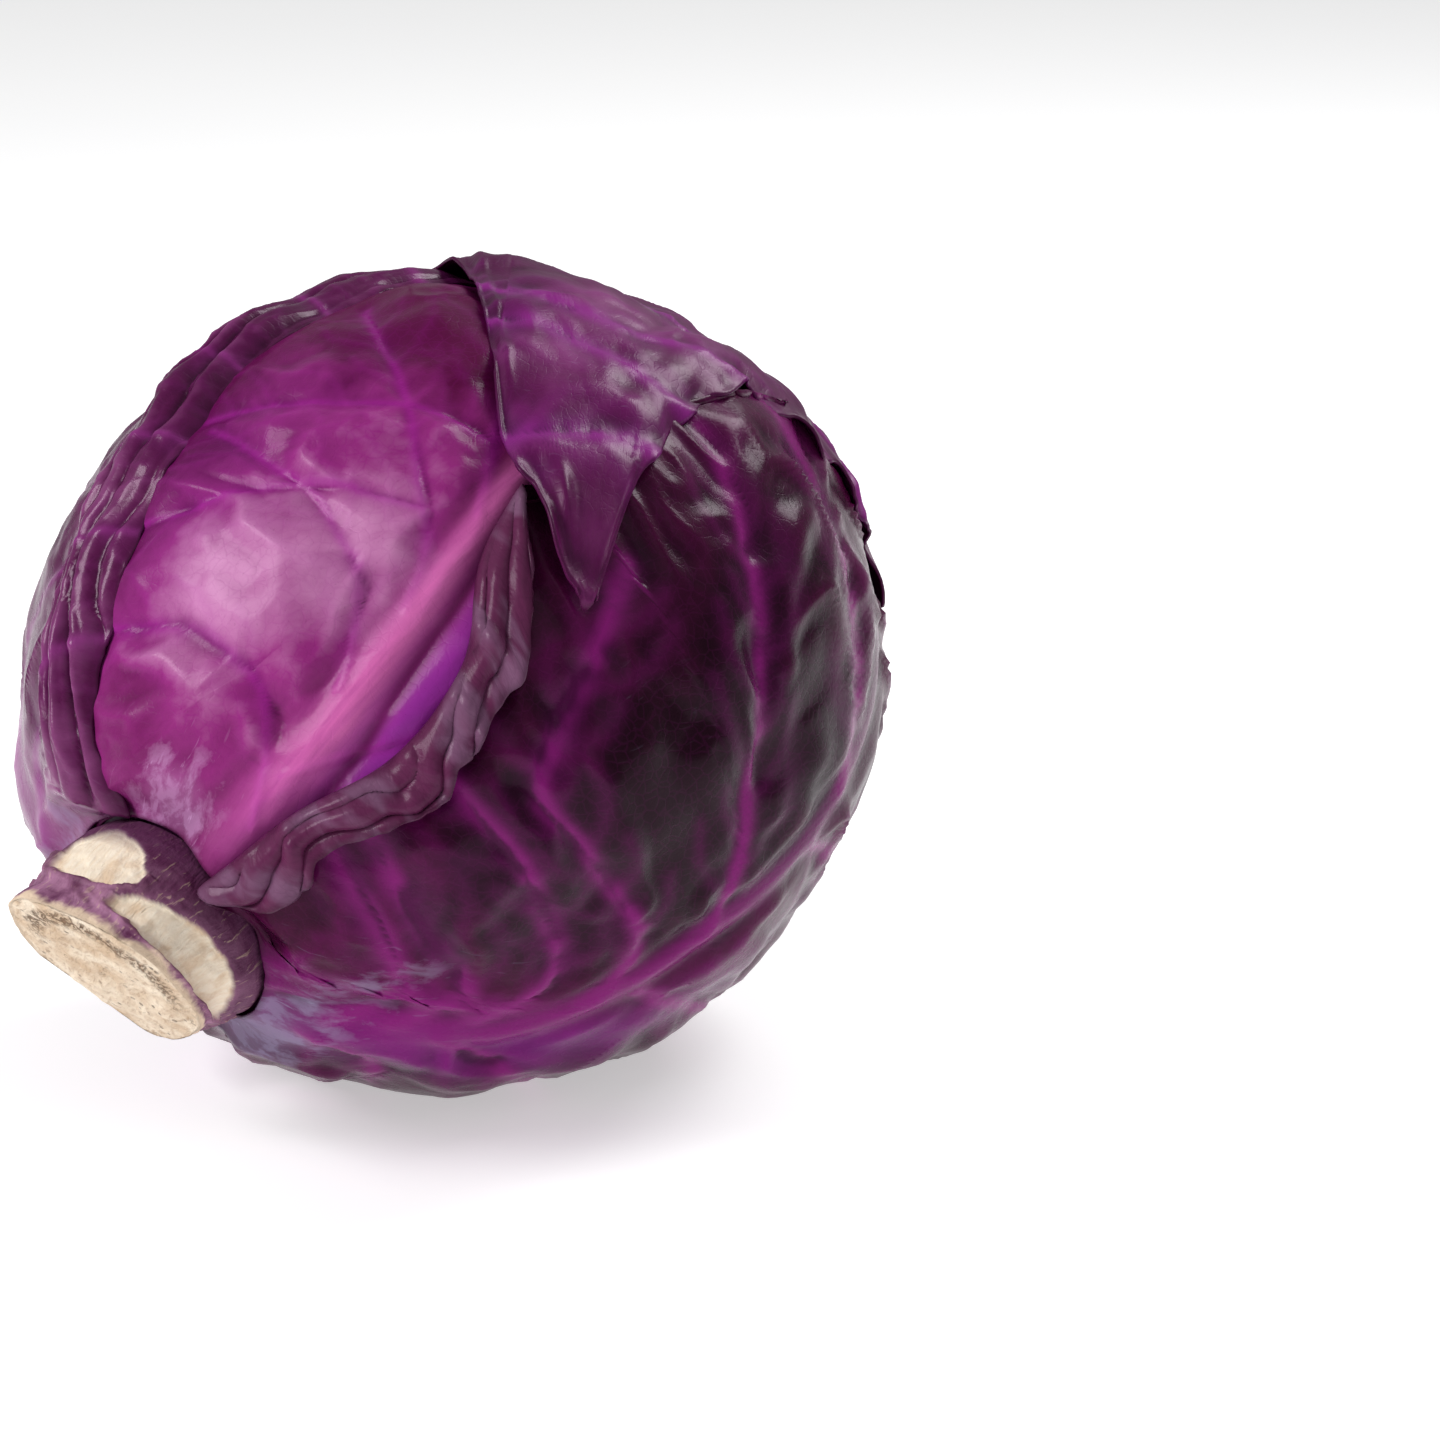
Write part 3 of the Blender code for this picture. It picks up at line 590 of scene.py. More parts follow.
def flat_points(leaf, distance, turn, centring):
    """Flat points at a distance along each ray; near the middle they shift onto the midrib."""
    x, y = distance * np.cos(turn), distance * np.sin(turn)
    return x, y + np.interp(x, *zip(*leaf["midrib"])) * centring


def vein_thickness(aside):
    """Half far from the midrib, growing to 1 beside it."""
    return 0.5 + 0.5 * smooth_step(80.0, 10.0, np.abs(aside))


def vein_fields(leaf, x, y, side):
    """Nearness of flat points to the lines of a leaf, each 1 on its line: a bell curve.

    Veins wander with noise, and none is thinner than the grid can show.
    """
    squeeze = squeezed(x, y)
    bent_x = x + VEIN_WANDER * noise(x, y, 13.0, 41)
    bent_y = y + VEIN_WANDER * noise(x, y, 13.0, 42)
    veins = [rounded(vein) for vein in side_veins(leaf)]
    vein_gap = distance_to_lines(veins, bent_x, bent_y, squeeze)
    twig_gap = distance_to_lines(twigs(leaf), bent_x, bent_y, squeeze)
    aside, spread = rib_offset(leaf, x, y), rib_spread(leaf, x)
    finest = 1.1 * grid_spacing(x, y, side)
    vein_width = VEIN_WIDTHS[0] + VEIN_WIDTHS[1] * vein_thickness(aside)
    tip, base = leaf["midrib"][-1][0], leaf["midrib"][0][0]
    along_rib = smooth_step(tip, base * 0.3, x) * (1.0 - 0.8 * smooth_step(-40.0, -86.0, x))
    return {
        "vein": np.exp(-(vein_gap / np.maximum(vein_width, finest)) ** 2),
        "glow": np.exp(-(vein_gap / GLOW_WIDTH) ** 2),
        "twig": np.exp(-(twig_gap / np.maximum(TWIG_WIDTH, finest)) ** 2),
        "rib": np.exp(-(aside / spread) ** 2) * along_rib,
        "rib_groove_and_shade": np.exp(-((np.abs(aside) - 1.35 * spread) / 1.6) ** 2),
    }


def fine_detail(leaf, x, y, fields):
    """Ridges of the veins and twigs, grooves beside the midrib and a thicker lip at the edge."""
    aside = rib_offset(leaf, x, y)
    ridges = fields["vein"] * vein_thickness(aside) + 0.35 * fields["twig"]
    detail = leaf.get("ridges", 0.35) * ridges + 0.15 * noise(x, y, 8.0, 52)
    deeper = 1.0 + leaf.get("groove", 0.0) * (aside > 0.0)
    detail -= 0.35 * deeper * fields["rib_groove_and_shade"] * fields["rib"].clip(0.3, 1.0)
    lip = EDGE_LIP * (1.0 - leaf.get("calm", 0.0)) * smooth_step(0.0, 1.0, leaf["ragged"])
    return detail + lip * (1.0 - smooth_step(0.0, 5.0, fields["edge"]))


def leaf_fields(name):
    """World points of a leaf's outside on a square grid, and the fields that colour it."""
    leaf = LEAVES[name]
    side = leaf["cells"] + 1
    line = np.linspace(-1.0, 1.0, side)
    u, v = (axis.ravel() for axis in np.meshgrid(line, line, indexing="ij"))
    ring, share = square_to_disc(u, v)
    turn = even_turns(leaf, share)
    fold, width = reach_of(leaf, turn), rim_width(leaf, turn)
    total = fold + width + torn_edge(leaf, turn)
    along = rings(leaf, ring, total, width)
    reach, rise = roll_back(along, fold, width)
    centring = np.clip(1.0 - ring * 1.4, 0.0, 1.0)
    x, y = flat_points(leaf, reach, turn, centring)
    flat_x, flat_y = flat_points(leaf, along, turn, centring)
    q = wrap(leaf, x, y)
    q /= np.linalg.norm(q, axis=1, keepdims=True)
    fields = vein_fields(leaf, flat_x, flat_y, side)
    fields["edge"] = np.clip(total - along, 0.0, 40.0)
    fields["fold"] = smooth_step(1.5, 4.5, along - fold) * smooth_step(1.0, 5.0, width)
    for field, patches in (("tone_and_painted_light", "patches"), ("bloom", "blooms"), ("violet", "violets")):
        fields[field] = patchwork(leaf.get(patches, ()), flat_x, flat_y)
    detail = fine_detail(leaf, flat_x, flat_y, fields)
    if "rolled" in leaf:
        past = np.maximum(along - fold, 0.0)
        detail = detail * (1.0 - fields["fold"]) + rim_folds(turn, past, width)
    # For the colour, the groove beside the midrib, strongest on its deep side, becomes painted
    # shade.
    grooved = np.clip(leaf.get("groove", 0.0), 0.0, 1.0)
    deep_side = rib_offset(leaf, flat_x, flat_y) > 0.0
    fields["rib_groove_and_shade"] = fields["rib_groove_and_shade"] * grooved * (0.25 + 0.75 * deep_side)
    calm = smooth_step(*REST_CALM, PLANE_RADIUS * np.arccos(np.clip(q @ SPOT, -1.0, 1.0)))
    shape = relief(leaf, x, y, q, fine=True) + detail * calm
    # Painted shade in the hollows and painted light on the crests: how far the shape lies under its
    # blurred self.
    fields["crease_shade_and_crest_light"] = np.clip((blurred(shape, side, 9) - shape) / 0.5, -2.0, 2.0)
    offset = blurred(stack_height(name, q), side, 5) + LEAF_THICKNESS + shape + rise
    flat = np.column_stack([flat_x, flat_y, np.zeros(len(flat_x))])
    return settle(head_point(q, offset)), flat, fields


def link_mesh(name, points, faces, flat, fields):
    """Add a mesh object, with points in millimetres, its flat coordinates and its fields."""
    mesh = bpy.data.meshes.new(name)
    mesh.from_pydata((points * MM).tolist(), [], faces)
    mesh.attributes.new("flat", "FLOAT_VECTOR", "POINT").data.foreach_set("vector", flat.ravel())
    for field, values in fields.items():
        mesh.attributes.new(field, "FLOAT", "POINT").data.foreach_set("value", values)
    mesh.shade_smooth()
    piece = bpy.data.objects.new(name, mesh)
    bpy.context.scene.collection.objects.link(piece)
    return piece


def grid_faces(side):
    """Quads of a square grid of points, facing away from the head."""
    index = np.arange(side * side).reshape(side, side)
    corners = (index[:-1, :-1], index[:-1, 1:], index[1:, 1:], index[1:, :-1])
    return np.stack(corners, axis=-1).reshape(-1, 4).tolist()


def make_leaf(name):
    """A leaf's outside, thickened inwards: full at the rib and thinner towards the edge."""
    points, flat, fields = leaf_fields(name)
    piece = link_mesh(name + "_skin", points, grid_faces(LEAVES[name]["cells"] + 1), flat, fields)
    group = piece.vertex_groups.new(name="thickness")
    levels = EDGE_THINNING + (1.0 - EDGE_THINNING) * smooth_step(0.0, 12.0, fields["edge"])
    levels = np.round(levels, 2)
    for level in np.unique(levels):
        group.add(np.flatnonzero(levels == level).tolist(), float(level), "REPLACE")
    wall = piece.modifiers.new("thickness", "SOLIDIFY")
    wall.thickness = LEAF_THICKNESS * MM
    wall.offset = -1.0
    wall.vertex_group = "thickness"
    return piece


def turned_faces(rows, columns):
    """Faces of rings of points between two poles; the poles are the first and last points."""
    ring = 1 + np.arange(rows * columns).reshape(rows, columns)
    after = np.roll(ring, -1, axis=1)
    last = rows * columns + 1
    quads = np.stack([ring[:-1], ring[1:], after[1:], after[:-1]], axis=-1).reshape(-1, 4)
    start = np.stack([np.zeros(columns, int), ring[0], after[0]], axis=-1)
    end = np.stack([ring[-1], np.full(columns, last), after[-1]], axis=-1)
    return start.tolist() + quads.tolist() + end.tolist()


def ring_grid(rows, columns):
    """Row and turn of each point of such a mesh: rows run from 0 to 1 between the poles."""
    row = np.repeat(np.arange(1, rows + 1) / (rows + 1), columns)
    turn = np.tile(np.arange(columns) / columns * 2.0 * pi, rows)
    return np.concatenate([[0.0], row, [1.0]]), np.concatenate([[0.0], turn, [0.0]])


def make_heart():
    """The dense inner head: the ellipsoid under the leaves, cut flat where the stem starts."""
    rows, columns = 90, 130
    row, turn = ring_grid(rows, columns)
    polar = pi * row
    across = np.sin(polar)
    q = np.column_stack([across * np.cos(turn), across * np.sin(turn), -np.cos(polar)])
    swirl = np.sin(3.0 * turn + 4.0 * q[:, 2])
    points = head_point(q, -HEART_DEPTH - 0.25 + 0.2 * swirl)
    local = (points - CENTRE) / STRETCH @ AXES.T
    local[:, 2] = np.maximum(local[:, 2], -HEART_END)
    points = settle(CENTRE + (local @ AXES) * STRETCH)
    veins = np.abs(np.sin(3.5 * turn + 2.0 * np.sin(polar * 2.0)))
    fields = {"vein": np.exp(-(veins / 0.06) ** 2) * across}
    return link_mesh("heart_skin", points, turned_faces(rows, columns), local, fields)


# Leaf scars of the stem: (turn, share of its length, half width, half length)
SCARS = ((-52, 0.44, 46, 0.25), (30, 0.68, 88, 0.20), (118, 0.46, 34, 0.20), (178, 0.62, 40, 0.18),
         (-120, 0.66, 30, 0.16))
STEM_PROFILE = ((0.0, 0.0, 0.0), (0.10, 0.90, 0.0), (0.13, 1.04, 0.03), (0.22, 1.09, 0.16),
                (0.32, 1.10, 0.32), (0.42, 1.07, 0.48), (0.52, 1.03, 0.64), (0.60, 0.98, 0.78),
                (0.68, 1.01, 0.92), (0.71, 1.0, 0.985), (0.73, 0.975, 1.0), (0.80, 0.75, 1.0),
                (0.90, 0.40, 0.99), (1.0, 0.0, 0.985))


def flattened(radius, turn, share):
    """The stem's radius, cut straight on its lower side towards its outer end."""
    straight = STEM_FLAT * STEM_RADIUS / np.maximum(-np.cos(turn), 0.2)
    return radius + (np.minimum(radius, straight) - radius) * smooth_step(0.2, 0.6, share)


def make_stem():
    """The cut stem: a profile turned round the axis, with leaf scars and a rough slanted cut."""
    rows, columns = 150, 180
    row, turn = ring_grid(rows, columns)
    steps, widths, depths = zip(*STEM_PROFILE)
    radius = np.interp(row, steps, widths)
    share = np.interp(row, steps, depths)
    cut = smooth_step(0.705, 0.735, row)
    knobs = np.sin(3.0 * turn + 0.6) * 0.035 + np.sin(5.0 * turn + 2.0) * 0.02
    radius = STEM_RADIUS * radius * (1.0 + knobs * smooth_step(0.3, 0.7, share))
    radius = flattened(radius, turn, share)
    scar, lip = np.zeros(len(row)), np.zeros(len(row))
    for at, level, half_turn, half_length in SCARS:
        apart = (np.degrees(turn) - at + 180.0) % 360.0 - 180.0
        along = (share - level) / half_length
        taper = 0.75 + 0.25 * np.clip(along, -1.0, 1.0)
        inside = np.hypot(apart / (half_turn * taper), along)
        inside += 0.22 * layered_noise(apart * 0.35, share * 30.0, 5.0, 67)
        scar = np.maximum(scar, 1.0 - smooth_step(0.84, 0.92, inside))
        lip = np.maximum(lip, np.exp(-((inside - 0.98) / 0.09) ** 2) * (share > level))
    side = 1.0 - cut
    ring_x, ring_y = turn * STEM_RADIUS, share * 30.0
    rough = layered_noise(ring_x, ring_y, 6.0, 61)
    radius += side * (0.9 * lip - 0.9 * scar + 0.8 * rough * smooth_step(0.2, 0.5, share))
    x, y = radius * np.cos(turn), radius * np.sin(turn)
    start = HEART_END + 0.4
    slope = STEM_CUT_SLOPE[0] * x + STEM_CUT_SLOPE[1] * y
    z = -start - (STEM_LENGTH - start - slope) * share
    torn = 0.45 * layered_noise(x * 0.5, y, 7.0, 63) + 0.2 * noise(x, y, 1.6, 64)
    z += cut * (torn + 0.5 * smooth_step(0.5, 1.0, radius / STEM_RADIUS))
    local = np.column_stack([x, y, z])
    ring = cut * radius / STEM_RADIUS
    specks = smooth_step(0.60, 0.74, ring) * (1.0 - smooth_step(0.80, 0.90, ring))
    fields = {"cut": cut, "scar": scar * side, "lip": lip * side, "share": share,
              "specks": specks * smooth_step(-0.3, 0.5, np.cos(turn + 0.5))}
    points = CENTRE + (local @ AXES) * STRETCH
    return link_mesh("stem_skin", points, turned_faces(rows, columns), local, fields)


class Value:
    """A node socket that joins in sums: each operator adds its Math node."""

    def __init__(self, nodes, socket):
        self.nodes = nodes
        self.socket = socket

    def math(self, operation, *others, swap=False):
        inputs = (others[0], self) if swap else (self, *others)
        return self.nodes.add("Math", {"operation": operation}, *inputs)

    def __add__(self, other):
        return self.math("ADD", other)

    def __sub__(self, other):
        return self.math("SUBTRACT", other)

    def __rsub__(self, other):
        return self.math("SUBTRACT", other, swap=True)

    def __mul__(self, other):
        return self.math("MULTIPLY", other)

    __radd__ = __add__
    __rmul__ = __mul__

    def clamped(self):
        return self.math("MAXIMUM", 0.0).math("MINIMUM", 1.0)


WHITE = (1.0, 1.0, 1.0, 1.0)


class Nodes:
    """The node tree of a new material, on its Principled BSDF."""

    def __init__(self, name):
        self.material = bpy.data.materials.new(name)
        self.material.use_nodes = True
        self.tree = self.material.node_tree
        self.shader = self.tree.nodes["Principled BSDF"]

    def add(self, kind, settings, *inputs, out=0, **named):
        """Add a node: its settings first, then its sockets by order or by name."""
        node = self.tree.nodes.new("ShaderNode" + kind)
        for key, value in settings.items():
            setattr(node, key, value)
        for key, value in [*enumerate(inputs), *named.items()]:
            self.put(node.inputs[key.replace("_", " ") if isinstance(key, str) else key], value)
        return Value(self, node.outputs[out])

    def put(self, socket, value):
        """Link a value, or set a constant, on a socket; None leaves it as it is."""
        if isinstance(value, Value):
            self.tree.links.new(value.socket, socket)
        elif value is not None:
            socket.default_value = value

    def attribute(self, name, out="Fac"):
        return self.add("Attribute", {"attribute_name": name}, out=out)

    def mix(self, factor, first, second):
        """Mix two colours."""
        settings = {"data_type": "RGBA", "clamp_factor": True}
        return self.add("Mix", settings, factor, None, None, None, None, None, first, second, out=2)

    def step(self, low, high, value):
        """0 at low to 1 at high, with a smooth rise."""
        return self.add("MapRange", {"interpolation_type": "SMOOTHSTEP"}, value, low, high)

    def noise(self, place, size, detail=3.0, roughness=0.55):
        """Noise in 0..1 with features of a size in the coordinates' unit."""
        return self.add("TexNoise", {}, Vector=place, Scale=1.0 / size, Detail=detail,
                        Roughness=roughness)

    def scaled(self, place, x, y, z):
        """Coordinates multiplied along each axis."""
        return self.add("VectorMath", {"operation": "MULTIPLY"}, place, (x, y, z))

    def warped(self, place, size, amount):
        """Coordinates pushed about by noise."""
        push = self.add("TexNoise", {}, out="Color", Vector=place, Scale=1.0 / size, Detail=2.0)
        centred = self.add("VectorMath", {"operation": "SUBTRACT"}, push, (0.5, 0.5, 0.5))
        grown = self.scaled(centred, amount, amount, amount)
        return self.add("VectorMath", {"operation": "ADD"}, place, grown)

    def finish(self, colour, roughness, height, specular=0.5, gloss_tint=WHITE, coat=0.0):
        """Feed the shader: height is in millimetres."""
        bump = self.add("Bump", {}, 1.0, MM, Height=height)
        self.put(self.shader.inputs["Base Color"], colour)
        self.put(self.shader.inputs["Roughness"], roughness)
        self.put(self.shader.inputs["Normal"], bump)
        self.shader.inputs["Specular IOR Level"].default_value = specular
        self.shader.inputs["Specular Tint"].default_value = gloss_tint
        self.shader.inputs["Coat Weight"].default_value = coat
        self.shader.inputs["Coat Roughness"].default_value = 0.14
        return self.material


def tint(red, green, blue):
    """A colour from 0-255 display values, as linear light."""
    shares = [value / 255.0 for value in (red, green, blue)]
    return (*((s / 12.92 if s <= 0.04045 else ((s + 0.055) / 1.055) ** 2.4) for s in shares), 1.0)


VIOLET = tint(148, 46, 158)
GREY_MAUVE = tint(140, 106, 136)
SHADOW = tint(34, 4, 26)
GLOSS_TINT = (1.0, 0.66, 0.88, 1.0)
TINT_NAMES = ("deep", "mid", "pale", "vein", "rib", "bloom", "fold")
LEAF_TINTS = {
    "leaf_front": ((82, 8, 56), (140, 42, 116), (194, 126, 174), (160, 30, 148),
                   (210, 104, 172), (196, 144, 192), (120, 40, 100)),
    "leaf_under": ((58, 14, 48), (92, 28, 80), (150, 100, 152), (150, 70, 142),
                   (170, 110, 165), (150, 140, 170), (96, 50, 88)),
    "leaf_lower": ((30, 6, 20), (72, 10, 52), (122, 10, 104), (142, 30, 122),
                   (128, 18, 110), (158, 150, 182), (94, 40, 74)),
    "leaf_left": ((42, 6, 32), (82, 18, 66), (142, 74, 126), (140, 46, 128),
                  (160, 90, 150), (160, 140, 176), (96, 44, 86)),
    "leaf_top": ((48, 6, 36), (88, 16, 72), (128, 56, 112), (140, 34, 134),
                 (140, 50, 130), (150, 120, 160), (100, 40, 86)),
}
# Roughness, specular level, coat weight, strength of the veins, strength of the painted shade in the
# hollows
LEAF_FINISH = {
    "leaf_front": (0.30, 0.09, 0.04, 0.42, 0.35),
    "leaf_under": (0.40, 0.20, 0.08, 0.60, 0.65),
    "leaf_lower": (0.27, 0.09, 0.07, 0.72, 0.65),
    "leaf_left": (0.28, 0.14, 0.12, 0.50, 0.50),
    "leaf_top": (0.36, 0.20, 0.03, 0.70, 0.65),
}


def leaf_material(name):
    """Waxy leaf: mottled lamina, fine net, branching veins, midrib, powdery bloom, and painted shade
    in the hollows and the midrib's groove with painted light on the crests.
    """
    nodes = Nodes(name + "_skin")
    tints = {part: tint(*value) for part, value in zip(TINT_NAMES, LEAF_TINTS[name])}
    rough, specular, coat, strong, shade = LEAF_FINISH[name]
    flat = nodes.attribute("flat", out="Vector")
    vein, glow, twig, rib, rib_groove_and_shade = map(nodes.attribute, ("vein", "glow", "twig", "rib", "rib_groove_and_shade"))
    edge, fold, tone_and_painted_light, violet = map(nodes.attribute, ("edge", "fold", "tone_and_painted_light", "violet"))
    bloom, crease_shade_and_crest_light = map(nodes.attribute, ("bloom", "crease_shade_and_crest_light"))
    bent = nodes.warped(flat, 6.0, 2.5)
    fine_net = nodes.add("TexVoronoi", {"feature": "DISTANCE_TO_EDGE"}, Vector=bent, Scale=1.0 / 2.3)
    lines = nodes.step(0.10, 0.0, fine_net)
    cloud, mottle, grain = nodes.noise(flat, 26.0), nodes.noise(bent, 5.0), nodes.noise(flat, 0.6)
    # Colour level: patches give the leaf's own tone with painted highlight and shade; hollows darken
    # and crests lighten it as painted shade and light.
    level = (0.38 + tone_and_painted_light * 0.75 + (cloud - 0.5) * 0.9 + (mottle - 0.5) * 0.35 - crease_shade_and_crest_light * 0.16
             - lines * 0.02)
    colour = nodes.mix((level * 2.0).clamped(), tints["deep"], tints["mid"])
    colour = nodes.mix((level * 2.0 - 1.0).clamped(), colour, tints["pale"])
    colour = nodes.mix((violet * 0.85).clamped(), colour, VIOLET)
    colour = nodes.mix(nodes.step(0.60, 0.74, grain) * 0.20, colour, tints["deep"])
    colour = nodes.mix(lines * 0.05, colour, tints["vein"])
    colour = nodes.mix(glow * 0.2 * strong + twig * 0.2 * strong, colour, tints["vein"])
    colour = nodes.mix(vein * strong, colour, tints["vein"])
    streak = nodes.noise(nodes.scaled(flat, 0.12, 1.0, 1.0), 1.3)
    colour = nodes.mix(rib * (0.85 + (streak - 0.5) * 0.9), colour, tints["rib"])
    # Painted shade in the groove beside the midrib.
    colour = nodes.mix(rib_groove_and_shade * 0.75, colour, tints["deep"])
    grey_folds = nodes.step(0.46, 0.60, nodes.noise(nodes.warped(flat, 12.0, 8.0), 14.0)) * 0.5
    folded = nodes.mix(grey_folds, tints["fold"], GREY_MAUVE)
    folded = nodes.mix(lines * 0.10, folded, tints["deep"])
    colour = nodes.mix(fold * 0.9, colour, folded)
    patch = nodes.noise(nodes.scaled(nodes.warped(flat, 9.0, 6.0), 0.6, 1.0, 1.0), 7.0, 5.0, 0.65)
    powder = (nodes.step(0.42, 0.64, patch) * bloom + (bloom - 0.9)).clamped()
    scratch = nodes.noise(nodes.scaled(nodes.warped(flat, 20.0, 9.0), 0.10, 1.0, 1.0), 1.1, 2.0)
    powder = powder + nodes.step(0.66, 0.74, scratch) * bloom * 0.6
    colour = nodes.mix(powder * 0.55, colour, tints["bloom"])
    # Painted shade: the hollows of the relief are darkened towards near black.
    colour = nodes.mix(nodes.step(0.15, 1.5, crease_shade_and_crest_light) * shade, colour, SHADOW)
    colour = nodes.mix(nodes.step(1.6, 0.0, edge) * 0.4, colour, tints["deep"])
    roughness = rough + powder * 0.25 + (mottle - 0.5) * 0.14 + fold * 0.06
    height = (lines * -0.015 + mottle * 0.10 + grain * 0.02 + streak * rib * 0.10
              + nodes.noise(bent, 2.2) * 0.03 + fold * nodes.noise(bent, 3.0) * 0.3)
    return nodes.finish(colour, roughness, height, specular, GLOSS_TINT, coat)


def heart_material():
    """Packed inner leaves: dark violet with paler veins."""
    nodes = Nodes("heart_skin")
    place = nodes.attribute("flat", out="Vector")
    cloud = nodes.noise(nodes.warped(place, 12.0, 8.0), 14.0)
    colour = nodes.mix(cloud, tint(46, 12, 44), tint(96, 30, 86))
    colour = nodes.mix(nodes.attribute("vein") * 0.6, colour, tint(140, 80, 130))
    return nodes.finish(colour, 0.42 + cloud * 0.1, cloud * 0.4)


def stem_material():
    """Cut stem: tan fibres on the cut, cream leaf scars and thin purple skin on the side, with
    painted shade towards the head.
    """
    nodes = Nodes("stem_skin")
    place = nodes.attribute("flat", out="Vector")
    cut, scar, lip, share, specks = map(nodes.attribute, ("cut", "scar", "lip", "share", "specks"))
    bent = nodes.warped(place, 5.0, 2.0)
    blotch = nodes.noise(bent, 7.0, 4.0)
    pith = nodes.noise(nodes.scaled(bent, 0.35, 1.0, 1.0), 1.1, 4.0)
    fibres = nodes.noise(nodes.scaled(bent, 1.0, 1.0, 0.12), 0.8, 3.0)
    wood = nodes.mix(nodes.step(0.30, 0.72, blotch), tint(212, 184, 154), tint(248, 232, 210))
    wood = nodes.mix(nodes.step(0.52, 0.70, pith) * 0.45, wood, tint(172, 136, 104))
    dots = nodes.step(0.24, 0.10, nodes.add("TexVoronoi", {}, Vector=bent, Scale=0.42))
    wood = nodes.mix(dots * nodes.step(0.45, 0.6, blotch) * 0.7, wood, tint(96, 66, 46))
    pits = nodes.step(0.46, 0.60, nodes.noise(bent, 0.9)) * specks
    wood = nodes.mix(pits * 0.75, wood, tint(92, 60, 36))
    wood = nodes.mix(specks * 0.25, wood, tint(150, 106, 66))
    cream = nodes.mix(fibres, tint(240, 216, 184), tint(255, 246, 230))
    skin = nodes.mix(nodes.step(0.35, 0.65, blotch), tint(98, 40, 80), tint(168, 114, 148))
    # Painted shade: the skin darkens towards the head, where the leaves overhang the stem.
    skin = nodes.mix(nodes.step(0.78, 0.40, share) * 0.75, skin, tint(78, 20, 62))
    skin = nodes.mix(nodes.step(0.60, 0.68, fibres) * 0.35, skin, tint(214, 186, 160))
    cream = nodes.mix(nodes.step(0.52, 0.68, blotch) * 0.5, cream, tint(206, 166, 124))
    side = nodes.mix(scar, skin, cream)
    side = nodes.mix(lip * nodes.step(0.35, 0.6, fibres) * 0.3, side, tint(128, 78, 96))
    # Painted shade, darker still right next to the head.
    side = nodes.mix(nodes.step(0.35, 0.15, share) * 0.8, side, tint(84, 34, 72))
    rind = nodes.step(0.90, 0.97, share + (blotch - 0.5) * 0.3)
    side = nodes.mix(rind * 0.9, side, tint(232, 208, 178))
    colour = nodes.mix(cut, side, wood)
    roughness = 0.62 + cut * 0.18 + (blotch - 0.5) * 0.2
    height = (cut * (pith * 0.9 + blotch * 0.8) + fibres * 0.35 - dots * cut * 0.4 - pits * 0.6
              + nodes.noise(bent, 2.4) * 0.4)
    return nodes.finish(colour, roughness, height, specular=0.35)


def floor_material():
    """Matt pale floor with a faint unevenness."""
    nodes = Nodes("pale_floor")
    place = nodes.add("TexCoord", {}, out="Object")
    cloud = nodes.noise(place, 0.5)
    colour = nodes.mix(cloud, (0.80, 0.80, 0.81, 1.0), (0.84, 0.84, 0.84, 1.0))
    nodes.shader.inputs["Emission Color"].default_value = WHITE
    nodes.shader.inputs["Emission Strength"].default_value = 0.47
    return nodes.finish(colour, 0.75, cloud * 0.01, specular=0.2)


def make_floor():
    """A wide level floor."""
    reach = 4.0
    corners = ((-reach, -reach), (reach, -reach), (reach, reach), (-reach, reach))
    mesh = bpy.data.meshes.new("floor")
    mesh.from_pydata([(x, y, 0.0) for x, y in corners], [], [(0, 1, 2, 3)])
    floor = bpy.data.objects.new("floor", mesh)
    bpy.context.scene.collection.objects.link(floor)
    mesh.materials.append(floor_material())


HEAD_MIDDLE = Vector(CENTRE * MM)


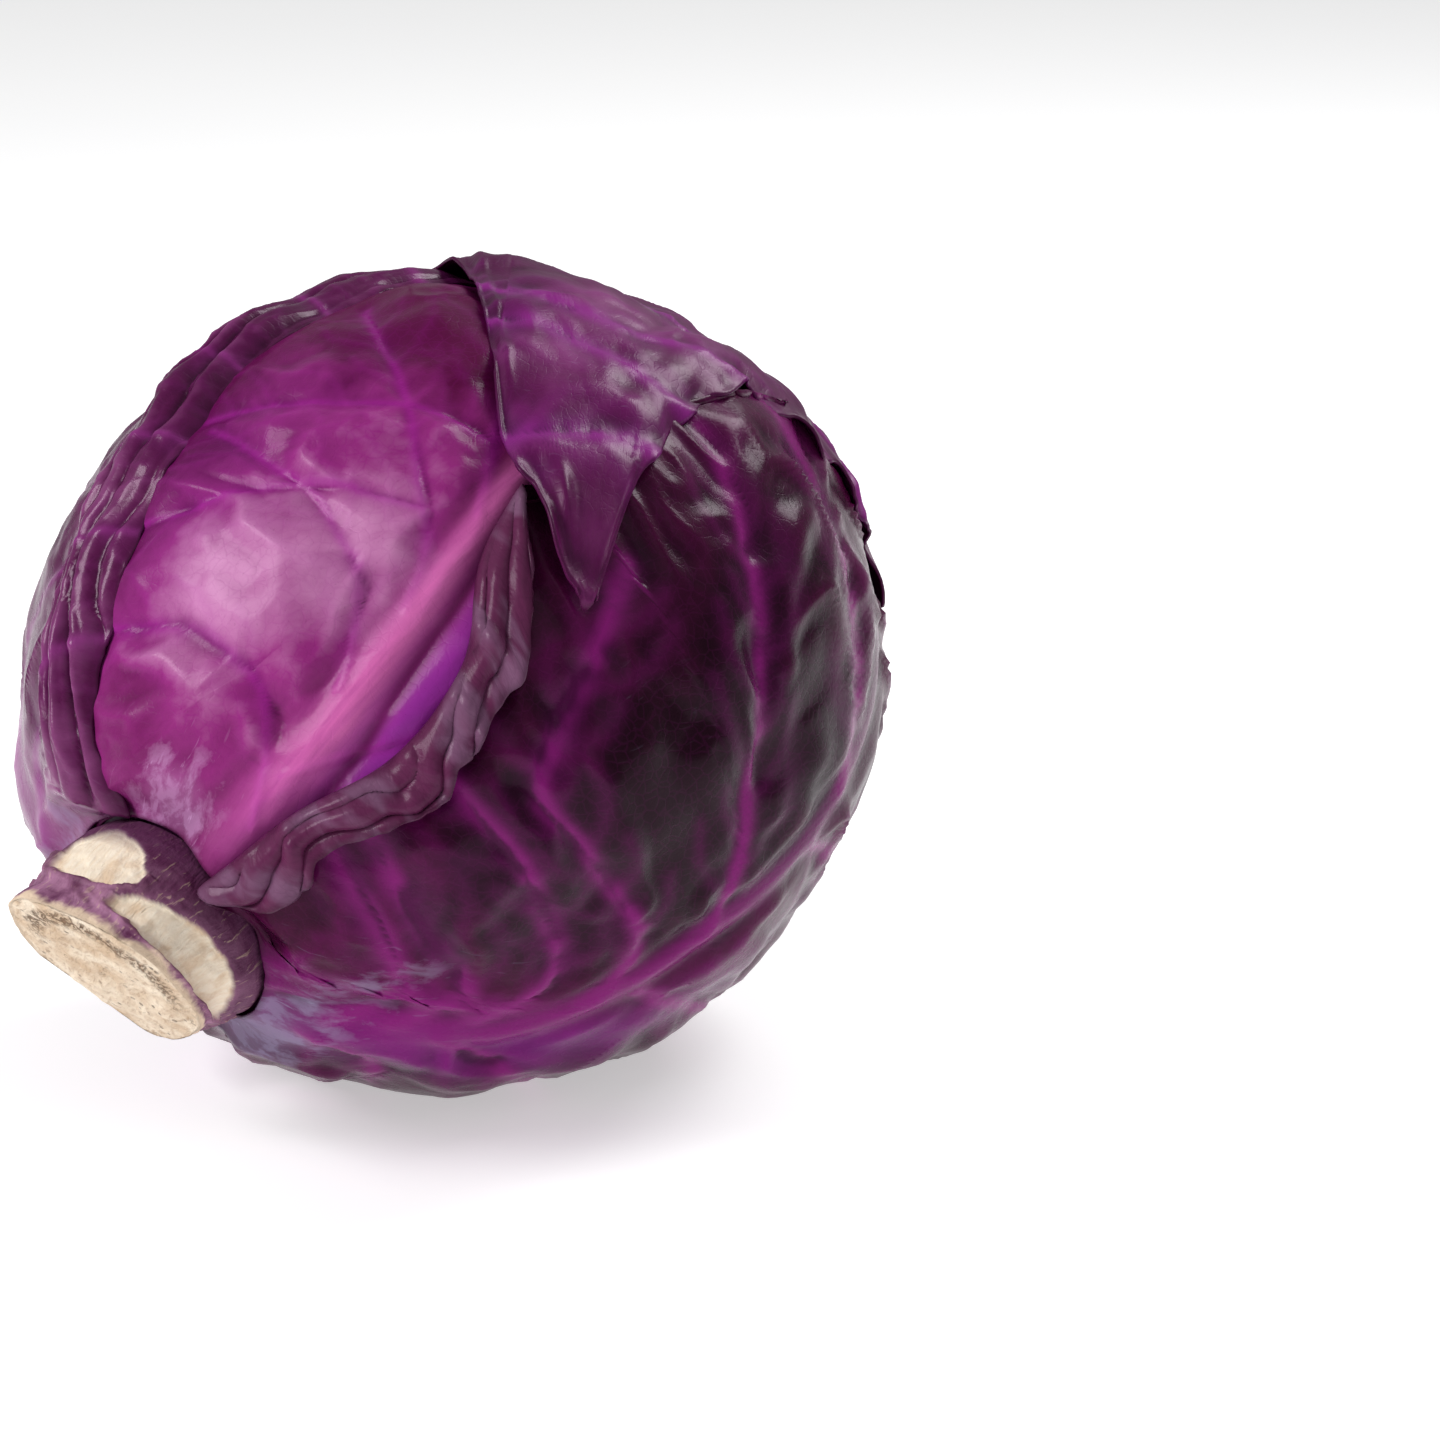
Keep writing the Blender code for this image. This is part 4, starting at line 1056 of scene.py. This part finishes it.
def add_softbox(name, azimuth, elevation, distance, side, watts):
    """An area light that faces the head; azimuth 0 is at the camera, 90 to its right."""
    turn, lift = radians(azimuth), radians(elevation)
    way = Vector((sin(turn) * cos(lift), -cos(turn) * cos(lift), sin(lift)))
    data = bpy.data.lights.new(name, "AREA")
    data.shape = "SQUARE"
    data.size = side
    data.energy = watts
    lamp = bpy.data.objects.new(name, data)
    lamp.location = HEAD_MIDDLE + way * distance
    lamp.rotation_euler = way.to_track_quat("Z", "Y").to_euler()
    bpy.context.scene.collection.objects.link(lamp)


def add_camera():
    """Looks down at the head from the front; the head sits left of the frame's middle."""
    lift = radians(VIEW_LIFT)
    right = Vector((1.0, 0.0, 0.0))
    up = Vector((0.0, sin(lift), cos(lift)))
    toward = Vector((0.0, -cos(lift), sin(lift)))
    distance, focal_pixels, frame_pixels = 0.95, 4940.0, 1440.0
    head_pixel = (455.0, 680.0)
    step = distance / focal_pixels
    place = (HEAD_MIDDLE + toward * distance - right * ((head_pixel[0] - 720.0) * step)
             + up * ((head_pixel[1] - 720.0) * step))
    data = bpy.data.cameras.new("camera")
    data.sensor_width = 36.0
    data.lens = 36.0 * focal_pixels / frame_pixels
    data.clip_end = 50.0
    camera = bpy.data.objects.new("camera", data)
    camera.matrix_world = Matrix((right, up, toward)).transposed().to_4x4()
    camera.location = place
    bpy.context.scene.collection.objects.link(camera)
    bpy.context.scene.camera = camera


def add_light():
    """Even pale surroundings, a large softbox at the left, one over the back and a weak fill."""
    world = bpy.data.worlds.new("studio")
    world.use_nodes = True
    background = world.node_tree.nodes["Background"]
    background.inputs["Color"].default_value = WHITE
    background.inputs["Strength"].default_value = 0.27
    bpy.context.scene.world = world
    add_softbox("left_softbox", -71, 34, 1.3, 0.5, 12.0)
    add_softbox("back_softbox", 130, 47, 1.2, 0.6, 10.0)
    add_softbox("front_fill", 25, 40, 1.6, 1.0, 1.2)
    view = bpy.context.scene.view_settings
    view.view_transform = "Standard"
    view.look = "None"


add_camera()
add_light()
make_floor()
pieces = {name: make_leaf(name) for name in LEAVES}
pieces["heart"] = make_heart()
pieces["stem"] = make_stem()
materials = {name: leaf_material(name) for name in LEAVES}
materials["heart"] = heart_material()
materials["stem"] = stem_material()
for node, piece in pieces.items():
    piece.data.materials.append(materials[node])
    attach(piece, "root")
    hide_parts(node)
